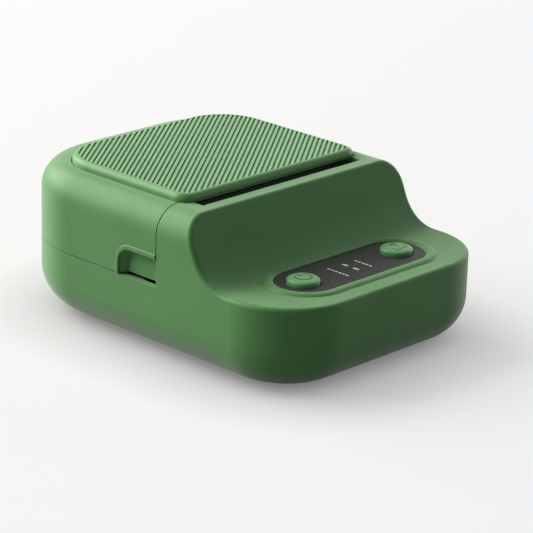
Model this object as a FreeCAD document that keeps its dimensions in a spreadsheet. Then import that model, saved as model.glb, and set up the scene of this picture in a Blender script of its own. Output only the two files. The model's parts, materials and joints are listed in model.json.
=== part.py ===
import FreeCAD
import Part
import Sketcher
import math
import os
import re

# Desktop label printer with a hinged rear cover.
# X runs to the right, Y to the back, Z up. The origin is under the middle of the body, on the table.

SIZES = {
    # Outer form
    "body_width": 99.0,
    "body_length": 131.0,
    "body_front_radius": 24.6,
    "body_back_radius": 31.4,
    "body_bottom_fillet": 13.8,
    "body_shoulder_fillet": 9.0,
    "body_wall": 2.2,
    "shoulder_height": 50.5,
    "deck_height": 29.7,
    "rim_setback": 45.5,
    "swoop_slope": 66.0,
    "swoop_radius": 14.0,
    "rim_fillet": 1.4,
    # Seams between the housing and the cover
    "seam_height": 24.7,
    "seam_setback": 57.4,
    "seam_gap": 0.35,
    # Hinge at the back
    "hinge_barrel_radius": 2.5,
    "hinge_setback": 0.1,
    "hinge_gap": 0.5,
    "hinge_pin_radius": 1.0,
    "knuckle_start": 9.0,
    "knuckle_length": 6.0,
    "knuckle_gap": 0.3,
    "running_clearance": 0.05,
    # Lid panel
    "panel_side_margin": 9.3,
    "panel_setback": 54.5,
    "panel_back_margin": 13.5,
    "panel_back_radius": 17.0,
    "panel_front_radius": 5.0,
    "panel_rise": 2.6,
    "panel_edge_fillet": 2.0,
    "least_radius": 0.8,
    "panel_wall": 2.2,
    "panel_gap": 0.35,
    "panel_seat_depth": 1.6,
    "panel_seat_width": 6.0,
    "panel_frame_thickness": 2.0,
    "panel_frame_margin": 3.0,
    "rib_pitch": 1.6,
    "rib_groove": 0.64,
    "rib_depth": 0.5,
    "rib_angle": 37.0,
    "rib_border": 2.0,
    "panel_boss_radius": 2.4,
    "panel_boss_inset": 4.2,
    "panel_boss_front": 22.0,
    "panel_boss_back": 19.5,
    # Paper slot and tear bar
    "slot_end_gap": 2.0,
    "slot_width": 4.3,
    "exit_depth": 2.6,
    "exit_edge": 3.0,
    "exit_step": 0.4,
    "exit_step_edge": 2.1,
    "apron_reach": 1.2,
    "apron_wall": 1.0,
    "tear_bar_thickness": 0.6,
    "tear_bar_height": 3.4,
    "tear_tooth_pitch": 1.6,
    "tear_tooth_height": 0.7,
    "tear_bar_drop": 0.4,
    # Finger notches
    "notch_length": 17.0,
    "notch_height": 9.2,
    "notch_bead_width": 1.4,
    "notch_bead_height": 0.45,
    "notch_corner": 5.0,
    "notch_depth": 2.4,
    "notch_bevel": 1.6,
    "notch_sill": 0.6,
    "notch_backing": 3.0,
    # Base plate
    "foot_height": 1.0,
    "foot_radius": 5.0,
    "foot_recess": 0.6,
    "foot_side_margin": 22.5,
    "foot_front_margin": 24.5,
    "foot_back_margin": 26.5,
    "plate_inset": 14.3,
    "plate_gap": 0.2,
    "ledge_margin": 4.0,
    "ledge_width": 4.5,
    "ledge_thickness": 2.0,
    "base_boss_height": 4.0,
    "base_screw_setback": 43.5,
    "base_screw_back_x": 14.0,
    # Screws
    "screw_radius": 1.0,
    "screw_head_radius": 1.9,
    "screw_head_height": 1.2,
    "screw_length": 5.0,
    "screw_clearance": 0.05,
    "screw_boss_radius": 3.0,
    # Control panel and buttons
    "control_setback": 20.3,
    "control_half_length": 30.8,
    "control_half_width": 10.0,
    "control_thickness": 1.5,
    "control_gap": 0.1,
    "control_backing": 1.5,
    "bead_width": 3.8,
    "bead_height": 0.8,
    "button_spacing": 43.6,
    "button_radius": 5.35,
    "button_gap": 0.25,
    "button_rise": 0.9,
    "button_dome": 1.1,
    "button_flange": 1.0,
    "button_flange_thickness": 1.0,
    "button_travel": 0.5,
    "button_float": 0.1,
    "light_pipe_half_width": 0.6,
    "light_pipe_half_length": 1.2,
    "light_pipe_spacing": 4.6,
    "led_height": 1.0,
    # Button board
    "button_board_half_length": 29.0,
    "button_board_half_width": 7.5,
    "board_thickness": 1.6,
    "button_board_depth": 9.2,
    "button_board_post_x": 11.0,
    "button_board_post_y": 5.0,
    "board_post_radius": 2.5,
    "switch_half_width": 3.0,
    "switch_height": 3.5,
    "plunger_radius": 1.7,
    "plunger_length": 2.4,
    # Main board and battery
    "battery_half_length": 28.5,
    "battery_setback": 10.5,
    "battery_width": 29.0,
    "battery_thickness": 6.5,
    "battery_corner": 2.0,
    "battery_rail": 2.0,
    "battery_rail_x": 16.0,
    "battery_rail_setback": 11.0,
    "battery_lead_x": 21.0,
    "battery_lead_loop": 10.0,
    "main_board_side_margin": 13.5,
    "main_board_setback": 10.5,
    "main_board_width": 29.0,
    "main_board_depth": 14.7,
    "main_board_post_inset": 3.0,
    "socket_depth": 3.6,
    "socket_setback": 0.4,
    "socket_height": 2.0,
    "usb_lead_setback": 12.0,
    "usb_lead_bend": -5.0,
    "chip_setback": 11.0,
    "chip_half_width": 5.0,
    "chip_height": 1.0,
    # USB board
    "usb_half_width": 4.5,
    "usb_half_height": 1.65,
    "usb_depth": 7.4,
    "usb_drop": 7.1,
    "usb_recess": 0.2,
    "usb_gap": 0.25,
    "usb_skin": 0.35,
    "usb_tongue_half_width": 3.0,
    "usb_board_half_width": 10.0,
    "usb_board_length": 10.0,
    "usb_post_x": 7.5,
    "usb_post_setback": 9.5,
    # Roll tray and guides
    "roll_back_room": 9.4,
    "trough_lift": 0.8,
    "trough_radius": 21.0,
    "tray_wall": 1.6,
    "tray_front_gap": 2.1,
    "tray_gap": 0.3,
    "tray_post_margin": 8.3,
    "tray_post_front": 5.5,
    "tray_post_back": 7.0,
    "guide_face": 26.0,
    "guide_thickness": 3.0,
    "guide_travel": 15.0,
    "guide_half_width": 14.0,
    "guide_rise": 13.0,
    "guide_side_room": 2.0,
    "guide_gap": 0.3,
    "guide_hub_radius": 9.0,
    "guide_hub_height": 1.5,
    "guide_stem_width": 2.4,
    "guide_pinion_post_radius": 1.5,
    "rack_height": 2.8,
    "rack_lift": 0.6,
    "rack_play": 0.2,
    "rack_back": 3.4,
    "rack_reach": 5.0,
    # Gears
    "gear_module": 0.5,
    "gear_backlash": 0.14,
    "gear_width": 3.0,
    "gear_pressure_angle": 20.0,
    "motor_lead_angle": 235.0,
    # Platen
    "platen_setback": 1.7,
    "platen_depth": 11.0,
    "platen_radius": 5.0,
    "platen_half_length": 24.6,
    "shaft_radius": 2.0,
    "bushing_radius": 3.4,
    "bushing_flange": 1.0,
    "carrier_thickness": 2.5,
    "carrier_front_margin": 0.8,
    "carrier_reach": 12.4,
    "carrier_tab": 4.5,
    "platen_roof_gap": 0.3,
    "arm_gap": 1.4,
    "arm_half_width": 4.6,
    # Print chassis
    "chassis_arm_gap": 0.7,
    "chassis_head_gap": 1.2,
    "chassis_plate": 1.5,
    "chassis_front_reach": 14.2,
    "chassis_back_reach": 3.8,
    "chassis_foot_height": 10.0,
    "chassis_foot_reach": 10.0,
    "chassis_wall_rise": 2.9,
    "chassis_wall_drop": 12.5,
    "chassis_screw_inset": 3.3,
    "chassis_screw_reach": 6.3,
    "cradle_gap": 0.35,
    "beam_drop": 13.5,
    "beam_reach": 2.6,
    "gear_side_gap": 0.8,
    # Print head
    "head_gap": 0.3,
    "head_half_width": 24.4,
    "head_ceramic": 1.0,
    "head_drop": 8.5,
    "head_rise": 5.5,
    "heatsink_thickness": 2.5,
    "heatsink_half_width": 28.0,
    "heatsink_drop": 11.0,
    "head_pin_radius": 1.0,
    "head_pin_drop": 9.3,
    "head_spring_x": 18.0,
    "head_spring_radius": 1.8,
    "head_spring_wire": 0.25,
    # Feed motor
    "motor_radius": 9.0,
    "motor_length": 16.0,
    "motor_shaft_radius": 1.0,
    "motor_shaft_reach": 5.4,
    "idler_post_radius": 1.5,
    # Sensor and cables
    "sensor_half_length": 5.0,
    "sensor_width": 4.5,
    "sensor_height": 3.0,
    "sensor_x": 12.0,
    "ribbon_half_width": 9.0,
    "ribbon_thickness": 0.4,
    "ribbon_bend": 3.0,
    "ribbon_x": 6.0,
    "cable_radius": 0.9,
}

# Places worked out from the sizes, as distances from the body's ends or from a neighbour
PLACES = {
    "front": "-body_length/2",
    "back": "body_length/2",
    "side": "body_width/2",
    "swoop_rim_y": "front + rim_setback",
    "seam_y": "front + seam_setback",
    "panel_front": "front + panel_setback",
    "panel_back": "back - panel_back_margin",
    "panel_half_width": "side - panel_side_margin",
    "panel_top": "shoulder_height + panel_rise",
    "panel_boss_front_y": "panel_front + panel_boss_front",
    "panel_boss_back_y": "panel_back - panel_boss_back",
    "slot_lip_y": "panel_front - slot_width",
    "slot_half_width": "chassis_plate_start + chassis_plate + gear_side_gap + gear_width + slot_end_gap",
    "notch_back": "seam_y + notch_length",
    "notch_top": "seam_height + notch_height",
    "foot_x": "side - foot_side_margin",
    "foot_front_y": "front + foot_front_margin",
    "foot_back_y": "back - foot_back_margin",
    "base_screw_front_y": "front + base_screw_setback",
    "control_y": "front + control_setback",
    "battery_front": "front + battery_setback",
    "battery_back": "battery_front + battery_width",
    "battery_rail_front": "battery_front + battery_rail_setback",
    "main_board_half_length": "side - main_board_side_margin",
    "main_board_front": "front + main_board_setback",
    "main_board_back": "main_board_front + main_board_width",
    "main_board_height": "deck_height - main_board_depth",
    "main_board_post_x": "main_board_half_length - main_board_post_inset",
    "usb_lead_y": "main_board_front + usb_lead_setback",
    "chip_y": "main_board_front + chip_setback",
    "usb_height": "seam_height - usb_drop",
    "usb_post_y": "back - usb_post_setback",
    "roll_y": "back - roll_back_room - trough_radius - tray_wall",
    "roll_z": "foot_height + body_wall + rack_lift + rack_height + trough_lift + trough_radius + tray_wall",
    "tray_half_width": "guide_face + guide_thickness + guide_side_room",
    "tray_front": "chassis_back + tray_front_gap",
    "tray_post_x": "side - tray_post_margin",
    "tray_post_front_y": "tray_front + tray_post_front",
    "tray_post_back_y": "roll_y - tray_post_back",
    "guide_top": "roll_z + guide_rise",
    "platen_y": "seam_y + platen_setback",
    "platen_z": "shoulder_height - platen_depth",
    "carrier_back": "platen_y + carrier_reach",
    "arm_start": "platen_half_length + arm_gap",
    "arm_end": "arm_start + carrier_thickness",
    "chassis_plate_start": "max(heatsink_half_width + chassis_head_gap; arm_end + chassis_arm_gap)",
    "chassis_front": "platen_y - chassis_front_reach",
    "chassis_back": "platen_y + chassis_back_reach",
    "chassis_wall_top": "platen_z + chassis_wall_rise",
    "chassis_wall_bottom": "platen_z - chassis_wall_drop",
    "chassis_screw_front_y": "chassis_front + chassis_screw_inset",
    "chassis_screw_back_y": "chassis_back - chassis_screw_inset",
    "chassis_screw_x": "chassis_plate_start + chassis_plate + chassis_screw_reach",
    "beam_height": "platen_z - beam_drop",
    "beam_front": "platen_y - beam_reach",
    "head_bottom": "platen_z - head_drop",
    "head_top": "platen_z + head_rise",
    "heatsink_bottom": "platen_z - heatsink_drop",
    "head_pin_height": "platen_z - head_pin_drop",
}

# Counts
PLATEN_TEETH = 24
IDLER_TEETH = 30
PINION_TEETH = 12
GUIDE_TEETH = 20
SPRING_TURNS = 3

doc = FreeCAD.newDocument("label_printer")
sheet = doc.addObject("Spreadsheet::Sheet", "sizes")
for row, (alias, number) in enumerate(SIZES.items(), start=1):
    sheet.set(f"A{row}", alias)
    sheet.set(f"B{row}", str(number))
    sheet.setAlias(f"B{row}", alias)
doc.recompute()

WORD = re.compile(r"\b[a-z][a-z_]*\b")
FAR = "body_length"
nodes = []


def formula(text):
    """Turn the names of places into their formulas, and the names of sizes into references to the sheet."""
    def spelled(match):
        word = match[0]
        if word in PLACES:
            return f"({formula(PLACES[word])})"
        return f"sizes.{word}" if word in SIZES else word

    return WORD.sub(spelled, str(text))


def value(text):
    """Number that a formula gives with the sizes in the sheet."""
    return float(sheet.evalExpression(formula(text)))


def bind(obj, **formulas):
    for name, text in formulas.items():
        obj.setExpression(name.replace("__", "."), formula(text))
    return obj


def node(label, obj):
    """Keep an object as a sub-part under its own label."""
    obj.Label = label
    nodes.append(obj)
    return obj


# Simple solids, each given by its spans along X, Y and Z

def block(name, x, y, z):
    box = doc.addObject("Part::Box", name)
    for side, axis, (low, high) in zip(("Length", "Width", "Height"), "xyz", (x, y, z)):
        box.setExpression(side, formula(f"({high}) - ({low})"))
        box.setExpression(f"Placement.Base.{axis}", formula(low))
    return box


TURNS = {
    "X": FreeCAD.Rotation(FreeCAD.Vector(0, 1, 0), 90),
    "Y": FreeCAD.Rotation(FreeCAD.Vector(1, 0, 0), -90),
    "Z": FreeCAD.Rotation(),
}


def rod(name, axis, x, y, z, radius):
    """Round bar along one axis, whose span is the pair of formulas among x, y and z."""
    bar = doc.addObject("Part::Cylinder", name)
    bar.Placement.Rotation = TURNS[axis]
    for letter, place in zip("XYZ", (x, y, z)):
        low = place[0] if letter == axis else place
        bar.setExpression(f"Placement.Base.{letter.lower()}", formula(low))
        if letter == axis:
            bind(bar, Height=f"({place[1]}) - ({low})")
    return bind(bar, Radius=radius)


def fuse(name, *parts):
    union = doc.addObject("Part::MultiFuse", name)
    union.Shapes = list(parts)
    union.Refine = True
    return union


def cut(name, base, *tools):
    difference = doc.addObject("Part::Cut", name)
    difference.Base = base
    difference.Tool = tools[0] if len(tools) == 1 else fuse(name + "_tools", *tools)
    difference.Refine = True
    return difference


def common(name, *parts):
    overlap = doc.addObject("Part::MultiCommon", name)
    overlap.Shapes = list(parts)
    overlap.Refine = True
    return overlap


def group(name, parts):
    """Identical loose pieces that share one node."""
    together = doc.addObject("Part::Compound", name)
    together.Links = list(parts)
    return together


def mirrored(name, source):
    """Copy on the other side of the plane x = 0."""
    copy = doc.addObject("Part::Mirroring", name)
    copy.Source = source
    copy.Normal = FreeCAD.Vector(1, 0, 0)
    return copy


def both_sides(name, source):
    return [source, mirrored(name + "_mirrored", source)]


# Bodies drawn as a straight outline, padded and rounded

def new_sketch(body, plane, offset):
    sketch = body.newObject("Sketcher::SketchObject", body.Name + "_sketch")
    planes = [item for item in body.Origin.OriginFeatures if item.Role == plane]
    sketch.AttachmentSupport = (planes[0], [""])
    sketch.MapMode = "FlatFace"
    return bind(sketch, AttachmentOffset__Base__z=offset)


def draw_outline(sketch, points):
    """Closed outline whose corners are held by two bound coordinates each."""
    corners = [FreeCAD.Vector(value(across), value(along), 0) for across, along in points]
    count = len(corners)
    for i in range(count):
        sketch.addGeometry(Part.LineSegment(corners[i], corners[(i + 1) % count]))
    for i in range(count):
        sketch.addConstraint(Sketcher.Constraint("Coincident", i, 2, (i + 1) % count, 1))
    for i, corner in enumerate(points):
        for kind, text in zip(("DistanceX", "DistanceY"), corner):
            index = sketch.addConstraint(Sketcher.Constraint(kind, i, 1, value(text)))
            sketch.setExpression(f"Constraints[{index}]", formula(text))


def prism(name, plane, points, low, high):
    body = doc.addObject("PartDesign::Body", name)
    sketch = new_sketch(body, plane, low)
    draw_outline(sketch, points)
    pad = body.newObject("PartDesign::Pad", name + "_pad")
    pad.Profile = sketch
    bind(pad, Length=f"({high}) - ({low})")
    doc.recompute()
    return body


def round_edges(body, radius, wanted):
    """Round the edges of a body that the test picks out."""
    doc.recompute()
    base = body.Tip
    picked = [f"Edge{i}" for i, edge in enumerate(base.Shape.Edges, start=1) if wanted(edge)]
    fillet = body.newObject("PartDesign::Fillet", body.Name + "_fillet")
    fillet.Base = (base, picked)
    bind(fillet, Radius=radius)
    doc.recompute()
    return body


def near(a, b):
    return abs(a - b) < 0.001


def upright(edge):
    box = edge.BoundBox
    return near(box.XLength, 0) and near(box.YLength, 0)


def crosswise(edge):
    box = edge.BoundBox
    return near(box.YLength, 0) and near(box.ZLength, 0)


def level_at(height):
    limit = value(height)
    return lambda edge: near(edge.BoundBox.ZMin, limit) and near(edge.BoundBox.ZMax, limit)


def slab(name, x, y, z, front_radius, back_radius=None):
    """Flat block with rounded upright corners."""
    corners = [(x[0], y[0]), (x[1], y[0]), (x[1], y[1]), (x[0], y[1])]
    body = prism(name, "XY_Plane", corners, z[0], z[1])
    middle = (value(y[0]) + value(y[1])) / 2
    round_edges(body, front_radius, lambda e: upright(e) and e.CenterOfMass.y < middle)
    round_edges(body, back_radius or front_radius, lambda e: upright(e) and e.CenterOfMass.y > middle)
    return body


def pill(name, half_length, half_width, y, z):
    """Slab with full round ends, lying across X."""
    run = f"({half_length}) - ({half_width})"
    span = (f"{y} - ({half_width})", f"{y} + {half_width}")
    middle = block(name + "_middle", (f"-({run})", run), span, z)
    right = rod(name + "_right", "Z", run, y, z, half_width)
    left = rod(name + "_left", "Z", f"-({run})", y, z, half_width)
    return fuse(name, middle, left, right)


def screw(name, x, y, head, upward):
    """Screw along Z whose head has its outer face at the height head."""
    sign = "+" if upward else "-"
    neck = f"{head} {sign} screw_head_height"
    tip = f"{head} {sign} screw_head_height {sign} screw_length"
    head_span = (head, neck) if upward else (neck, head)
    shank_span = (neck, tip) if upward else (tip, neck)
    cap = rod(name + "_head", "Z", x, y, head_span, "screw_head_radius")
    shank = rod(name + "_shank", "Z", x, y, shank_span, "screw_radius")
    return fuse(name, cap, shank)


def screw_hole(name, x, y, z):
    return rod(name, "Z", x, y, z, "screw_radius + screw_clearance")


# Places that several pieces share

SIDE = "side"
BACK = "back"
FLOOR = "(foot_height + body_wall)"
LEDGE_TOP = f"({FLOOR} + ledge_thickness)"
SKY = "(panel_top + body_wall)"
HINGE_Y = f"({BACK} - hinge_barrel_radius - hinge_setback)"
HINGE_DEPTH = "(hinge_barrel_radius + hinge_setback + hinge_gap)"
HINGE_REACH = "(body_back_radius - hinge_barrel_radius - hinge_setback)"
HINGE_HALF = f"({SIDE} - body_back_radius + sqrt(body_back_radius^2 - {HINGE_REACH}^2))"
KNUCKLE_END = "(knuckle_start + knuckle_length)"
PIN_HALF = f"({KNUCKLE_END} + knuckle_length/2)"
COVER_BOTTOM = "(seam_height + seam_gap/2)"
PANEL_SEAT = "(shoulder_height - panel_seat_depth)"
FRAME_BOTTOM = f"({PANEL_SEAT} - panel_frame_thickness)"
PANEL_BOSS_X = "(panel_half_width - panel_boss_inset)"
BASE_SCREW_X = f"({SIDE} - plate_inset - ledge_width/2)"
BASE_SCREW_Y = f"({BACK} - plate_inset - ledge_width/2)"
CONTROL_FLOOR = "(deck_height - control_thickness)"
BACKING_BOTTOM = "(deck_height - body_wall - control_backing)"
BUTTON_X = "(button_spacing/2)"
BUTTON_FOOT = f"({BACKING_BOTTOM} - button_float - button_flange_thickness)"
BUTTON_BOARD_TOP = "(deck_height - button_board_depth)"
SWITCH_TOP = f"({BUTTON_BOARD_TOP} + switch_height)"
PLUNGER_FOOT = f"({BUTTON_FOOT} - plunger_length)"
PIPE_YS = [f"control_y {sign} light_pipe_spacing/2" for sign in "+-"]
USB_BOARD_TOP = "(usb_height - usb_half_height)"
TRAY_TOP = "(seam_height - seam_gap/2)"
TROUGH_OUTER = "(trough_radius + tray_wall)"
GUIDE_PITCH_RADIUS = f"(gear_module*{GUIDE_TEETH}/2)"
STEM_Y = f"(roll_y - {GUIDE_PITCH_RADIUS} - rack_back)"
DEDENDUM = "(1.25*gear_module)"
RACK_BOTTOM = f"({FLOOR} + rack_lift)"
RACK_TOP = f"({FLOOR} + rack_lift + rack_height)"
GEAR_START = "(chassis_plate_start + chassis_plate + gear_side_gap)"
GEAR_END = f"({GEAR_START} + gear_width)"
CHASSIS_OUTER = "(chassis_plate_start + chassis_plate)"
HEAD_FACE = "(platen_y - platen_radius - head_gap)"
HEATSINK_FACE = f"({HEAD_FACE} - head_ceramic)"
HEATSINK_BACK = f"({HEATSINK_FACE} - heatsink_thickness)"
HEAD_PIN_Y = f"({HEATSINK_FACE} - heatsink_thickness/2)"
CHASSIS_FOOT_TOP = "(chassis_foot_height + chassis_plate)"
BEAM_TOP = "(beam_height + chassis_plate)"
CHASSIS_WALL_BACK = "(chassis_front + chassis_plate)"
CARRIER_BOTTOM = "(platen_z + platen_radius + platen_roof_gap)"
CARRIER_FRONT = "(seam_y + seam_gap/2 + carrier_front_margin)"

# The cover lifts the platen square to the line from the hinge, so the idler lies straight under that way
IDLER_DISTANCE = f"({PLATEN_TEETH + IDLER_TEETH}*gear_module/2)"
HINGE_ARM = f"sqrt(({HINGE_Y} - platen_y)^2 + (platen_z - seam_height)^2)"
IDLER_Y = f"(platen_y - {IDLER_DISTANCE}*(platen_z - seam_height)/{HINGE_ARM})"
IDLER_Z = f"(platen_z - {IDLER_DISTANCE}*({HINGE_Y} - platen_y)/{HINGE_ARM})"
MOTOR_DISTANCE = f"({IDLER_TEETH + PINION_TEETH}*gear_module/2)"
MOTOR_Y = f"({IDLER_Y} + {MOTOR_DISTANCE}*cos(motor_lead_angle))"
MOTOR_Z = f"({IDLER_Z} + {MOTOR_DISTANCE}*sin(motor_lead_angle))"
PINION_TIP_RADIUS = f"({PINION_TEETH / 2 + 1}*gear_module)"


# Outer and inner form of the closed printer

def swoop_faces(shape):
    """Slope, hollow and deck that the swoop leaves."""
    slope = FreeCAD.Vector(0, -math.sin(math.radians(value("swoop_slope"))),
                           math.cos(math.radians(value("swoop_slope"))))
    picked = []
    for face in shape.Faces:
        surface = face.Surface
        if surface.TypeId == "Part::GeomPlane":
            normal = face.normalAt(0, 0)
            is_deck = near(normal.z, 1) and near(face.CenterOfMass.z, value("deck_height"))
            if is_deck or near((normal - slope).Length, 0):
                picked.append(face)
        elif surface.TypeId == "Part::GeomCylinder" and near(surface.Radius, value("swoop_radius")):
            picked.append(face)
    return picked


def rim_of(faces):
    """Edges around a patch of faces, without the ones between its faces."""
    edges = [edge for face in faces for edge in face.Edges]
    return [edge for edge in edges if sum(edge.isSame(other) for other in edges) == 1]


def envelope(name, inset):
    half_width = f"({SIDE} - {inset})"
    half_length = f"({BACK} - {inset})"
    bottom = f"(foot_height + {inset})"
    top = f"(shoulder_height - {inset})"
    body = slab(name, (f"-{half_width}", half_width), (f"-{half_length}", half_length), (bottom, top),
                f"body_front_radius - {inset}", f"body_back_radius - {inset}")
    round_edges(body, f"body_bottom_fillet - {inset}", level_at(bottom))
    round_edges(body, f"body_shoulder_fillet - {inset}", level_at(top))

    rim = f"(swoop_rim_y + {inset}/sin(swoop_slope))"
    deck = f"(deck_height - {inset})"
    foot = f"({rim} - (shoulder_height - {deck})/tan(swoop_slope))"
    crest = f"({rim} + body_wall/tan(swoop_slope))"
    sky = "(shoulder_height + body_wall)"
    sketch = new_sketch(body, "YZ_Plane", "0")
    draw_outline(sketch, [(crest, sky), (foot, deck), (f"-{FAR}", deck), (f"-{FAR}", sky)])
    pocket = body.newObject("PartDesign::Pocket", name + "_swoop")
    pocket.Profile = sketch
    pocket.SideType = "Symmetric"
    bind(pocket, Length="2*body_width")
    doc.recompute()
    y, z = value(foot), value(deck)
    round_edges(body, f"swoop_radius + {inset}",
                lambda e: crosswise(e) and near(e.CenterOfMass.y, y) and near(e.CenterOfMass.z, z))
    return body


outer_form = envelope("outer_form", "0")
rim_edges = rim_of(swoop_faces(outer_form.Tip.Shape))
round_edges(outer_form, "rim_fillet", lambda edge: any(edge.isSame(other) for other in rim_edges))
inner_form = envelope("inner_form", "body_wall")
shell = cut("shell", outer_form, inner_form)


def outline_slab(name, inset, z):
    """Slab with the body's plan outline, drawn in by an inset."""
    half_width = f"({SIDE} - ({inset}))"
    half_length = f"({BACK} - ({inset}))"
    return slab(name, (f"-{half_width}", half_width), (f"-{half_length}", half_length), z,
                f"body_front_radius - ({inset})", f"body_back_radius - ({inset})")


def panel_slab(name, grow, z):
    """Slab with the lid panel's outline, grown by a margin."""
    x = (f"-panel_half_width - ({grow})", f"panel_half_width + {grow}")
    y = (f"panel_front - ({grow})", f"panel_back + {grow}")
    front_radius = f"max(panel_front_radius + {grow}; least_radius)"
    back_radius = f"max(panel_back_radius + {grow}; least_radius)"
    return slab(name, x, y, z, front_radius, back_radius)


# Screw places, as pairs of formulas

BASE_SCREWS = [(f"{s}{x}", y) for s in ("", "-")
               for x, y in ((BASE_SCREW_X, "base_screw_front_y"), ("base_screw_back_x", BASE_SCREW_Y))]
CHASSIS_SCREWS = [(f"{s}chassis_screw_x", y) for s in ("", "-")
                  for y in ("chassis_screw_front_y", "chassis_screw_back_y")]
PANEL_SCREWS = [(f"{s}{PANEL_BOSS_X}", y) for s in ("", "-")
                for y in ("panel_boss_front_y", "panel_boss_back_y")]
TRAY_SCREWS = [(f"{s}tray_post_x", y) for s in ("", "-") for y in ("tray_post_front_y", "tray_post_back_y")]
BUTTON_BOARD_SCREWS = [(f"{s}button_board_post_x", f"control_y {t} button_board_post_y")
                       for s in ("", "-") for t in "+-"]
MAIN_BOARD_SCREWS = [(f"{s}main_board_post_x", y) for s in ("", "-")
                     for y in ("main_board_front + main_board_post_inset",
                               "main_board_back - main_board_post_inset")]
CARRIER_SCREWS = [(f"{s}{PANEL_BOSS_X}", "carrier_back - carrier_tab/2") for s in ("", "-")]
FEET = [(f"{s}foot_x", y) for s in ("", "-") for y in ("foot_front_y", "foot_back_y")]
USB_BOARD_SCREWS = [(f"{s}usb_post_x", "usb_post_y") for s in ("", "-")]


def holes(name, places, z):
    return [screw_hole(f"{name}_{i}", x, y, z) for i, (x, y) in enumerate(places)]


def posts(name, places, z, radius="screw_boss_radius"):
    return [rod(f"{name}_{i}", "Z", x, y, z, radius) for i, (x, y) in enumerate(places)]


def screws(name, places, head, upward):
    return [screw(f"{name}_{i}", x, y, head, upward) for i, (x, y) in enumerate(places)]


# Main housing

def bead():
    """Soft raised ring round the control panel: the top of a thick round bar laid along the pill."""
    radius = "(((bead_width/2)^2 + bead_height^2)/(2*bead_height))"
    middle = "(control_half_width + bead_width/2)"
    run = "(control_half_length - control_half_width)"
    height = f"(deck_height + bead_height - {radius})"
    parts = []
    for sign in "+-":
        y = f"control_y {sign} {middle}"
        parts.append(rod(f"bead_run_{len(parts)}", "X", (f"-{run}", run), y, height, radius))
    for side, turn in (("", -90), ("-", 90)):
        end = doc.addObject("Part::Torus", f"bead_end_{len(parts)}")
        bind(end, Radius1=middle, Radius2=radius, Placement__Base__x=f"{side}{run}",
             Placement__Base__y="control_y", Placement__Base__z=height)
        end.Angle3 = 180
        end.Placement.Rotation = FreeCAD.Rotation(FreeCAD.Vector(0, 0, 1), turn)
        parts.append(end)
    ring = fuse("bead_ring", *parts)
    above = block("bead_zone", (f"-{SIDE}", SIDE), (f"-{BACK}", "0"),
                  ("deck_height - body_wall/2", "deck_height + 2*bead_height"))
    return common("bead", ring, above)


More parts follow.
